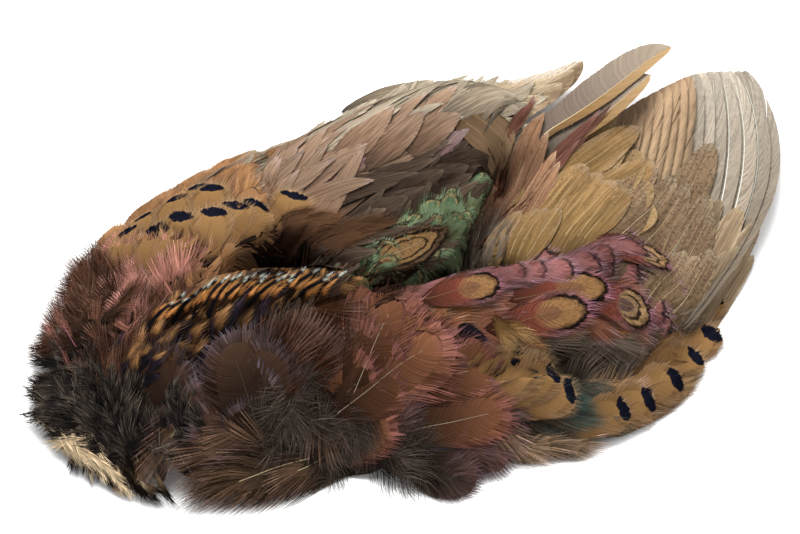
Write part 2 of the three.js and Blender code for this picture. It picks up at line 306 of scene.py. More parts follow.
def fringe_pattern(count, form):
    """Fine hairs past the sheet, drawn together in locks: feather, side, hair, step, edge."""
    hairs, clump = form["hairs"], form["clump"]
    shape = (count, 2, hairs, 1)
    number = np.arange(hairs)[:, None]
    place = (number + chance.random(shape)) / hairs
    lock = np.arange(hairs) // clump
    middle = ((lock + 0.5) * clump / hairs)[:, None]
    place = place + (middle - place) * form["pull"] * HAIR_COURSE
    share = evened(place, form)
    start = form["core"] - form["lap"]
    finish = 1 + form["over"] * (chance.random(shape) - HAIR_MIDDLE)
    step = start + (finish - start) * HAIR_COURSE
    spot = barb_point(share, step, form)
    near = barb_point(evened(place - 0.5 / hairs, form), step, form)
    far = barb_point(evened(place + 0.5 / hairs, form), step, form)
    spot[..., 0] += chance.normal(0, form["stray"], shape) * HAIR_COURSE ** 2
    half = 0.5 * (far - near) * (form["thick"] * HAIR_TAPER)[:, None]
    mixed = [LOCK_SHARE * values[..., lock] + (1 - LOCK_SHARE) * chance.random((count, 2, hairs))
             for values in chance.random((2, count, 2, lock[-1] + 1))]
    tone, ruffle = (values[..., None, None] for values in mixed)
    return np.stack([spot - half, spot + half], -2), share[..., None], tone, ruffle


def strip_pattern(form):
    """Barb strips of one flight feather: side, barb, step, edge."""
    barbs = form["ribs"]
    share = evened(np.arange(barbs + 1) / barbs, form)[:, None]
    middle = barb_point(share, BARB_STEPS, form)
    half_gap = 0.5 * np.diff(middle, axis=0) * np.array(form["web"])[:, None]
    middle = 0.5 * (middle[1:] + middle[:-1])
    trim = 1 - form["notch"] * chance.random((2, barbs, 1, 1, 1)) ** 2
    split = (chance.random((2, barbs)) < form["split"]) * chance.normal(0, form["stray"], (2, barbs))
    drift = np.cumsum(split, -1) - np.linspace(0, 1, barbs) * split.sum(-1, keepdims=True)
    corner = np.stack([middle - half_gap, middle + half_gap], -2)
    start = corner[:, :1].mean(-2, keepdims=True)
    corner = start + (corner - start) * trim
    corner[..., 0] += drift[..., None, None] * BARB_STEPS[:, None]
    return corner, share[1:, :, None]


def sheet_quads(rows, columns):
    """Faces of one grid of corners."""
    first = (np.arange(rows - 1)[:, None] * columns + np.arange(columns - 1)).reshape(-1)
    return np.stack([first, first + 1, first + columns + 1, first + columns], -1)


def repeated(quads, copies, stride, parts=1, part_stride=0):
    """The same faces for many vanes of one or more grids; every second vane is the mirrored side."""
    faces = quads + (np.arange(parts) * part_stride)[:, None, None]
    faces = faces.reshape(-1, 4) + (np.arange(copies) * stride)[:, None, None]
    faces[1::2] = faces[1::2, :, ::-1]
    return faces.reshape(-1, 4)


# %% [markdown]
# ## Bending feathers over the body
#
# A shaft starts under the plumage and comes out towards its tip, so that tips cover the roots of the next
# row, as roof tiles do. The shaft is walked over the height map in small steps, then every corner of the
# vane is put beside the shaft and dropped onto the map. A cloth simulation could drape feathers too, but
# it would take far longer for this many, and they would slide off the steep sides.

# %% Laying feathers on a carrier
WALK_STEPS = 8
STEEPEST = 2.5
FURTHEST_ALONG, RISE_UNTIL = 1.15, 1.1
HAIR_LIFT = 0.1
LAYER_GAP, LAYERS = 0.03, 20
RUFFLE_RANGE = 2.5
SHAFT_TAPER = 0.75
SHEET_BARB, SHAFT_BARB, SHAFT_SHARE = 0.5, -1.0, 0.5
SIDES = np.array([1.0, -1.0])
RIDGE = np.array([-1.0, 0.0, 1.0])


def walk_shafts(carrier, roots, headings, lengths, bends):
    """Places and directions along each shaft, as it follows the ups and downs of the carrier."""
    spots, aheads = [], []
    spot, heading = roots.copy(), headings.copy()
    for _ in range(WALK_STEPS + 1):
        ahead = np.stack([np.cos(heading), np.sin(heading)], -1)
        spots.append(spot)
        aheads.append(ahead)
        climb = np.clip((carrier.slope(spot) * ahead).sum(-1), -STEEPEST, STEEPEST)
        spot = spot + ahead * (lengths / WALK_STEPS / np.sqrt(1 + climb ** 2))[:, None]
        heading = heading + bends / WALK_STEPS
    return np.stack(spots, 1), np.stack(aheads, 1)


def lay(carrier, walk, along, across, rise, widths, lift=0.0):
    """Corners of the feathers in space; the first axis counts feathers."""
    spots, aheads = walk
    place = np.clip(along, 0, FURTHEST_ALONG) * WALK_STEPS
    step = np.clip(place.astype(int), 0, WALK_STEPS - 1)
    part = (place - step)[..., None]
    feather = np.arange(len(widths)).reshape((-1,) + (1,) * (along.ndim - 1))
    centre = spots[feather, step] * (1 - part) + spots[feather, step + 1] * part
    ahead = aheads[feather, step] * (1 - part) + aheads[feather, step + 1] * part
    slope = np.clip(carrier.slope(centre), -STEEPEST, STEEPEST)
    side = np.stack([-ahead[..., 1], ahead[..., 0]], -1)
    tilt = (slope * side).sum(-1)
    wide = widths.reshape(feather.shape) * across / np.sqrt(1 + tilt ** 2)
    ground = centre + side * wide[..., None]
    steep = np.sqrt(1 + (slope ** 2).sum(-1))
    rise = rise + lift
    ground = ground - slope * (rise / steep)[..., None]
    height = carrier.at(ground) + rise / steep
    # Feathers that reach the table lie a hair apart, not in one plane
    lowest = TABLE_CLEARANCE + LAYER_GAP * (feather % LAYERS) + lift
    return np.concatenate([ground, np.maximum(height, lowest)[..., None]], -1)


def part_of(corners, quads, along, across, barb, share, owner):
    """One sheet, fringe or shaft: corners, faces, plume numbers and the feather of every corner."""
    numbers = [np.clip(along, 0, 1), np.clip(across, -1, 1), barb, share, owner]
    along_flat, across_flat, barb_flat, share_flat, owner_flat = (
        np.broadcast_to(values, along.shape).reshape(-1) for values in numbers)
    plume = np.column_stack([along_flat, across_flat, barb_flat, share_flat])
    return corners.reshape(-1, 3), quads, plume, owner_flat


def feathers(carrier, roots, headings, lengths, widths, form, bends):
    """Meshes of one kind of feather: corners, faces, and the plume numbers of every corner."""
    count = len(roots)
    walk = walk_shafts(carrier, roots, headings, lengths, bends)
    root_rise, tip_rise = form["rise"]
    lifted = tip_rise - root_rise + chance.normal(0, form["lift"], count)
    numbers = np.arange(count)
    parts = []

    def rise_at(along, across):
        column = (-1,) + (1,) * (along.ndim - 1)
        rise = root_rise + lifted.reshape(column) * np.clip(along, 0, RISE_UNTIL) ** form["rise_power"]
        return rise - form["camber"] * across ** 2

    sheet, share = sheet_pattern(count, form)
    along, across = sheet[..., 0], sheet[..., 1] * SIDES[:, None, None]
    corners = lay(carrier, walk, along, across, rise_at(along, across), widths)
    rows, columns = along.shape[2:]
    quads = repeated(sheet_quads(rows, columns), count * 2, rows * columns)
    parts.append(part_of(corners, quads, along, across, SHEET_BARB, share, numbers[:, None, None, None]))

    hair, share, barb, ruffle = fringe_pattern(count, form)
    along, across = hair[..., 0], hair[..., 1] * SIDES[:, None, None, None]
    ruffle = RUFFLE_RANGE * form["ruffle"] * ruffle * HAIR_COURSE[:, None]
    corners = lay(carrier, walk, along, across, rise_at(along, across) + ruffle, widths, HAIR_LIFT)
    hairs, steps = along.shape[2:4]
    quads = repeated(sheet_quads(steps, 2), count * 2, hairs * steps * 2, hairs, steps * 2)
    parts.append(part_of(corners, quads, along, across, barb, share, numbers[:, None, None, None, None]))

    course = np.linspace(form["shaft_start"], form["shaft_end"], WALK_STEPS + 1)[:, None]
    along = np.broadcast_to(course, (count, WALK_STEPS + 1, len(RIDGE)))
    thin = form["shaft"] * (1 - SHAFT_TAPER * along)
    across = RIDGE * thin / widths[:, None, None]
    ridge = HAIR_LIFT + thin * (1 - np.abs(RIDGE))
    corners = lay(carrier, walk, along, across, rise_at(along, across), widths, ridge)
    rows, columns = along.shape[1:]
    quads = repeated(sheet_quads(rows, columns), count, rows * columns)
    parts.append(part_of(corners, quads, along, across, SHAFT_BARB, SHAFT_SHARE, numbers[:, None, None]))
    return joined(parts, chance.random((count, 2)))


def joined(parts, luck):
    """All parts of a batch in one set of arrays."""
    corners = np.vstack([p[0] for p in parts])
    starts = np.cumsum([0] + [len(p[0]) for p in parts[:-1]])
    quads = np.vstack([p[1] + start for p, start in zip(parts, starts)])
    plume = np.vstack([p[2] for p in parts])
    owner = np.concatenate([p[3] for p in parts])
    return {"corners": corners, "quads": quads, "plume": plume, "owner": owner, "luck": luck}


# %% [markdown]
# ## Feather finishes
#
# A feather is made of keratin, as a fingernail is, and its pigment changes from root to tip. So every
# corner carries its place along the shaft and across the vane, and a finish is two rows of colours from
# root to tip, one for the middle of the vane and one for its edges. The dark start of the rows is painted
# shade, where the feathers in front cover the roots. Marks such as the spot of a flank feather or the buff
# oval of a scapular are ovals laid over those rows; some fade towards the root. Fine barb lines, speckles
# and a chance per feather keep two feathers from looking the same. A painted picture could give the
# colours as well, but rows of colours stay sharp at any distance.

# %% Finish helpers
# Real barbs lie about 0.3 mm apart and real freckles measure about 0.5 mm. Both are drawn coarser here,
# so that a picture of the whole skin can show them.
BARB_LINE = 1.0
SPECKLE = 1.3
MARK_CLOUD = 4.0
LINE_SHIFT = 91.0
COMBED_STRETCH = 0.4
BARB_WAVER, CLOUD_WAVER, MEAN_WAVER = 0.05, 0.12, 0.085
EDGE_FRAY, MEAN_FRAY = 0.3, 0.15
OVAL_LINES, OVAL_CLOUD, OVAL_RIM = 0.15, 0.2, (1.12, 1.24)
FADE_LINES = 0.9
BAR_CLOUD, BAR_RANGE = 9.0, (0.1, 0.9)
SPECKLE_RANGE = (0.5, 0.62)
LINE_RANGE = (0.36, 0.64)
CLOSED_VANE, CLOSED_STREAK = (0.2, 0.8), 0.28
CLUMP_STREAK = 1.3
BELOW_BARBS = -0.5
KERATIN_ROUGHNESS, KERATIN_IOR = 0.5, 1.54


def linear(hex_colour):
    parts = [int(hex_colour[i:i + 2], 16) / 255 for i in (1, 3, 5)]
    return [p / 12.92 if p <= 0.04045 else ((p + 0.055) / 1.055) ** 2.4 for p in parts] + [1.0]


def add_node(tree, kind, inputs=(), stops=(), out=0, **settings):
    """Add a node, set it up, fill or link its sockets, and give back one of its outputs."""
    made = tree.nodes.new("ShaderNode" + kind)
    for name, value in settings.items():
        setattr(made, name, value)
    for place, (spot, colour) in enumerate(stops):
        row = made.color_ramp.elements
        element = row[place] if place < 2 else row.new(spot)
        element.position = spot
        element.color = linear(colour)
    for socket, value in dict(inputs).items():
        if isinstance(value, bpy.types.NodeSocket):
            tree.links.new(value, made.inputs[socket])
        else:
            made.inputs[socket].default_value = value
    return made.outputs[out] if made.outputs else None


def stops_of(row):
    """Colours written as one line: place along the feather and sRGB colour, place and colour, and so on."""
    words = [stop.split() for stop in row.split(",")]
    return [(float(place), colour) for place, colour in words]


def feather_finish(name, middle, edge=None, edge_span=(0.35, 0.8), signed=False, ovals=(), oval_fade=None,
                   bars=0.0, bar_colour="#4a3826", bar_count=12, speckle=0.0, speckle_colour="#2a1e15",
                   shaft="#8a7154", streak=0.35, variety=0.3, length=30, combed_lines=0.0, gloss=0.0):
    """Keratin barbs coloured by their place in the vane; they stay matt unless a gloss is given."""
    finish = bpy.data.materials.new(name)
    finish.use_nodes = True
    tree = finish.node_tree
    tree.nodes.clear()

    def add(kind, inputs=(), stops=(), **settings):
        return add_node(tree, kind, inputs, stops, **settings)

    plume = add("Attribute", attribute_name="plume", out="Vector")
    along, across, barb = add("SeparateXYZ", {0: plume}).node.outputs
    coat = add("Attribute", attribute_name="coat", out="Vector")
    line_luck, tone_luck, shaft_share = add("SeparateXYZ", {0: coat}).node.outputs
    out = add("Math", {0: across}, operation="ABSOLUTE")

    # A barb keeps its share of the shaft, so a one-way noise of that share runs along the barbs
    shift = {0: line_luck, 1: LINE_SHIFT, 2: shaft_share}
    line_place = add("Math", shift, operation="MULTIPLY_ADD")
    fineness = {"W": line_place, "Scale": length / BARB_LINE, "Detail": 2.0}
    lines = add("TexNoise", fineness, noise_dimensions="1D")
    if combed_lines:
        lane = add("Math", {0: across, 1: combed_lines}, operation="MULTIPLY")
        reach = add("Math", {0: along, 1: combed_lines * COMBED_STRETCH}, operation="MULTIPLY")
        strand = add("CombineXYZ", {0: lane, 1: reach, 2: line_place})
        lines = add("TexNoise", {"Vector": strand, "Scale": 1.0, "Detail": 3.0})

    # The borders of a marking waver from barb to barb
    spot = add("TexCoord", out="Object")
    cloud = add("TexNoise", {"Vector": spot, "Scale": 1 / (MARK_CLOUD * MM), "Detail": 3.0})
    waver = add("Math", {0: barb, 1: BARB_WAVER, 2: along}, operation="MULTIPLY_ADD")
    waver = add("Math", {0: cloud, 1: CLOUD_WAVER, 2: waver}, operation="MULTIPLY_ADD")
    waver = add("Math", {0: waver, 1: MEAN_WAVER}, operation="SUBTRACT")
    colour = add("ValToRGB", {0: waver}, stops_of(middle))
    if edge:
        rim = add("ValToRGB", {0: waver}, stops_of(edge))
        side = across if signed else out
        frayed = add("Math", {0: cloud, 1: EDGE_FRAY, 2: side}, operation="MULTIPLY_ADD")
        span = {0: frayed, 1: edge_span[0] + MEAN_FRAY, 2: edge_span[1] + MEAN_FRAY}
        share = add("MapRange", span, interpolation_type="SMOOTHSTEP")
        colour = add("Mix", {0: share, 6: colour, 7: rim}, out=2, data_type="RGBA")
    for centre, long_half, wide_half, mark in ovals:
        far = add("Math", {0: waver, 1: centre}, operation="SUBTRACT")
        far = add("Math", {0: far, 1: long_half}, operation="DIVIDE")
        wide = add("Math", {0: out, 1: wide_half}, operation="DIVIDE")
        pair = add("CombineXYZ", {0: far, 1: wide})
        away = add("VectorMath", {0: pair}, out="Value", operation="LENGTH")
        away = add("Math", {0: lines, 1: OVAL_LINES, 2: away}, operation="MULTIPLY_ADD")
        away = add("Math", {0: cloud, 1: OVAL_CLOUD, 2: away}, operation="MULTIPLY_ADD")
        share = add("MapRange", {0: away, 1: OVAL_RIM[0], 2: OVAL_RIM[1], 3: 1.0, 4: 0.0})
        if oval_fade:
            ragged = add("Math", {0: lines, 1: FADE_LINES, 2: far}, operation="MULTIPLY_ADD")
            faded = add("MapRange", {0: ragged, 1: oval_fade[0], 2: oval_fade[1]})
            share = add("Math", {0: share, 1: faded}, operation="MULTIPLY")
        colour = add("Mix", {0: share, 6: colour, 7: linear(mark)}, out=2, data_type="RGBA")
    if bars:
        wave = add("Math", {0: waver, 1: bar_count * 2 * math.pi}, operation="MULTIPLY")
        wave = add("Math", {0: cloud, 1: BAR_CLOUD, 2: wave}, operation="MULTIPLY_ADD")
        wave = add("Math", {0: wave}, operation="SINE")
        share = add("MapRange", {0: wave, 1: BAR_RANGE[0], 2: BAR_RANGE[1], 4: bars})
        colour = add("Mix", {0: share, 6: colour, 7: linear(bar_colour)}, out=2, data_type="RGBA")
    if speckle:
        fine = add("TexNoise", {"Vector": spot, "Scale": 1 / (SPECKLE * MM), "Detail": 2.0})
        share = add("MapRange", {0: fine, 1: SPECKLE_RANGE[0], 2: SPECKLE_RANGE[1], 4: speckle})
        colour = add("Mix", {0: share, 6: colour, 7: linear(speckle_colour)}, out=2, data_type="RGBA")

    # Light and dark by barb line, by lock of hairs and by feather. The tone by feather is random; the barb
    # lines and locks are partly random tone and partly painted shade in the gaps between hairs and painted
    # highlights on their ends, the lines stronger towards the open edge of the vane
    near_shaft = streak if combed_lines else CLOSED_STREAK * streak
    depth = add("MapRange", {0: out, 1: CLOSED_VANE[0], 2: CLOSED_VANE[1], 3: near_shaft, 4: streak})
    swing = add("MapRange", {0: lines, 1: LINE_RANGE[0], 2: LINE_RANGE[1], 3: -1.0, 4: 1.0})
    tone = add("Math", {0: swing, 1: depth, 2: 1.0}, operation="MULTIPLY_ADD")
    lock = add("MapRange", {0: barb, 3: 1 - CLUMP_STREAK * streak, 4: 1 + CLUMP_STREAK * streak})
    whole = add("MapRange", {0: tone_luck, 3: 1 - variety, 4: 1 + variety})
    tone = add("Math", {0: tone, 1: lock}, operation="MULTIPLY")
    tone = add("Math", {0: tone, 1: whole}, operation="MULTIPLY")
    colour = add("VectorMath", {0: colour, "Scale": tone}, operation="SCALE")
    is_shaft = add("Math", {0: barb, 1: BELOW_BARBS}, operation="LESS_THAN")
    colour = add("Mix", {0: is_shaft, 6: colour, 7: linear(shaft)}, out=2, data_type="RGBA")

    keratin = {"Base Color": colour, "Roughness": KERATIN_ROUGHNESS, "IOR": KERATIN_IOR}
    shader = add("BsdfPrincipled", {**keratin, "Specular IOR Level": gloss})
    add("OutputMaterial", {0: shader})
    return finish


# %% [markdown]
# ## The kinds of feathers
#
# Each kind has a form, the shape of its vane and barbs, and a finish. Neck hackles are short, narrow and
# open; breast feathers are broad with rounded tips; down has long loose barbs; flight feathers are long
# with a closed vane. Lengths and half widths are those of a cock pheasant's feathers. Every kind is one
# line of numbers and one or two rows of colours, so a new kind of feather needs no new code.

# %% Forms
# Sheet: ribs on each side, core (its share of a barb's length) and notch (how ragged its edge is).
# Fringe: hairs on each side, lap (how far they start back on the sheet), over (how far their lengths
# differ), thick, clump (hairs in a lock), pull (how far a lock closes) and stray. Outline: bare (where
# barbs start), reach (how far a barb leans ahead), shaft_start and shaft_end, widest, tip (its power and
# roundness), slender (length by half width) and shaft (half width of the shaft). Lie: bend, rise (at root
# and tip), rise_power, lift (how far tips differ), camber, ruffle, overhang and curl.
CONTOUR = {
    "ribs": 14, "core": 0.62, "notch": 0.1, "hairs": 80, "lap": 0.3, "over": 0.35, "thick": 0.7,
    "clump": 5, "pull": 0.7, "stray": 0.012, "bare": 0.05, "reach": 0.42, "shaft_end": 0.74,
    "widest": 0.6, "tip": (2.2, 0.6), "slender": 3.3, "bend": 0.25, "rise": (-4.5, 0.4),
    "rise_power": 1.3, "lift": 0.4, "camber": 0.8, "ruffle": 0.3, "shaft": 0.14, "shaft_start": 0.35,
    "overhang": 0.1, "curl": 0.0,
}


def form(**changes):
    return {**CONTOUR, **changes}


hackle = form(
    ribs=6, core=0.45, lap=0.3, hairs=12, clump=2, thick=1.0, reach=0.4, shaft_end=0.65, widest=0.5,
    tip=(1.3, 1.0), slender=6, over=0.5, stray=0.03, rise=(-3.0, 1.2), lift=0.7, camber=0.2, ruffle=0.5,
    shaft=0.1, bend=0.4, overhang=0.3)
silky = form(
    ribs=18, core=0.8, hairs=64, thick=1.0, clump=5, pull=0.4, over=0.2, rise=(-4.5, 0.2), lift=0.25,
    ruffle=0.12)
hairy = form(
    overhang=0.3, core=0.4, hairs=72, clump=5, pull=0.6, reach=0.48, shaft_end=0.66, over=0.28, thick=1.1,
    stray=0.014, ruffle=0.5, lift=0.6, shaft=0.24, shaft_start=0.1)
stranded = {**hairy, "hairs": 38, "clump": 3, "thick": 0.95, "core": 0.34, "lap": 0.25, "ruffle": 0.35}
loose = form(
    overhang=0.5, ribs=6, core=0.12, lap=0.1, hairs=50, clump=3, reach=0.34, over=0.6, thick=0.6,
    stray=0.05, ruffle=1.0, rise=(-4.0, 0.8), lift=0.9, bend=0.7, shaft=0.1)
broad = form(
    shaft_start=0.12, ribs=18, core=0.7, hairs=96, clump=6, pull=0.5, thick=0.95, over=0.14, widest=0.62,
    tip=(2.6, 0.5), camber=1.4)
pointed = form(
    core=0.65, hairs=36, clump=4, reach=0.34, shaft_end=0.7, widest=0.5, tip=(1.5, 0.9), slender=8,
    lift=0.6, over=0.3)
curled = {**pointed, "curl": -0.7, "core": 0.85, "lap": 0.2, "over": 0.2}
spotted = form(
    ribs=18, core=0.86, hairs=90, clump=6, pull=0.4, over=0.15, camber=0.3, widest=0.7, tip=(3.0, 0.55),
    ruffle=0.1)
long_vane = form(
    ribs=26, core=0.97, notch=0.015, hairs=10, clump=1, pull=0.0, reach=0.14, shaft_end=0.9, widest=0.6,
    tip=(2.6, 0.6), slender=11, over=0.1, lap=0.15, thick=0.25, rise=(-4.0, 0.3), lift=0.3, camber=0.5,
    ruffle=0.05, shaft=0.12, bend=0.1, overhang=0.0)
lance = {
    **long_vane, "tip": (1.9, 0.8), "widest": 0.5, "reach": 0.2, "slender": 14, "bend": 0.16,
    "rise": (-4.0, 0.1), "lift": 0.2, "camber": 0.3,
}
covert = {
    **long_vane, "tip": (2.5, 0.6), "widest": 0.58, "slender": 10, "bend": 0.14, "rise": (-4.0, 0.1),
    "lift": 0.2, "camber": 0.3,
}
paddle = {**long_vane, "core": 1.0, "notch": 0.0, "over": 0.0, "tip": (3.2, 0.5), "widest": 0.66}
ringed = {**broad, "core": 0.86, "camber": 0.3, "over": 0.15, "hairs": 90}
fan = {**broad, "core": 0.84, "over": 0.18, "hairs": 90, "notch": 0.14, "camber": 0.9}
quill = form(
    ribs=110, bare=0.08, reach=0.07, shaft_end=0.9, widest=0.6, tip=(3.0, 0.5), slender=9, notch=0.015,
    stray=0.012, split=0.04, web=(1.1, 1.1, 1.1, 1.05), ruffle=0.06, twist=0.1, shaft=0.4)
print("numbers in a form:", len(CONTOUR))


# %% Kinds
def kind(shape, length, width, gap, name, middle, edge=None, edge_span=(0.45, 0.95), **looks):
    """A recipe: lengths in millimetres, width is half of the vane, gap is across and along the feathers."""
    finish = feather_finish(name, middle, edge, edge_span, length=length, **looks)
    return {"form": shape, "length": length, "width": width, "gap": gap, "finish": finish}
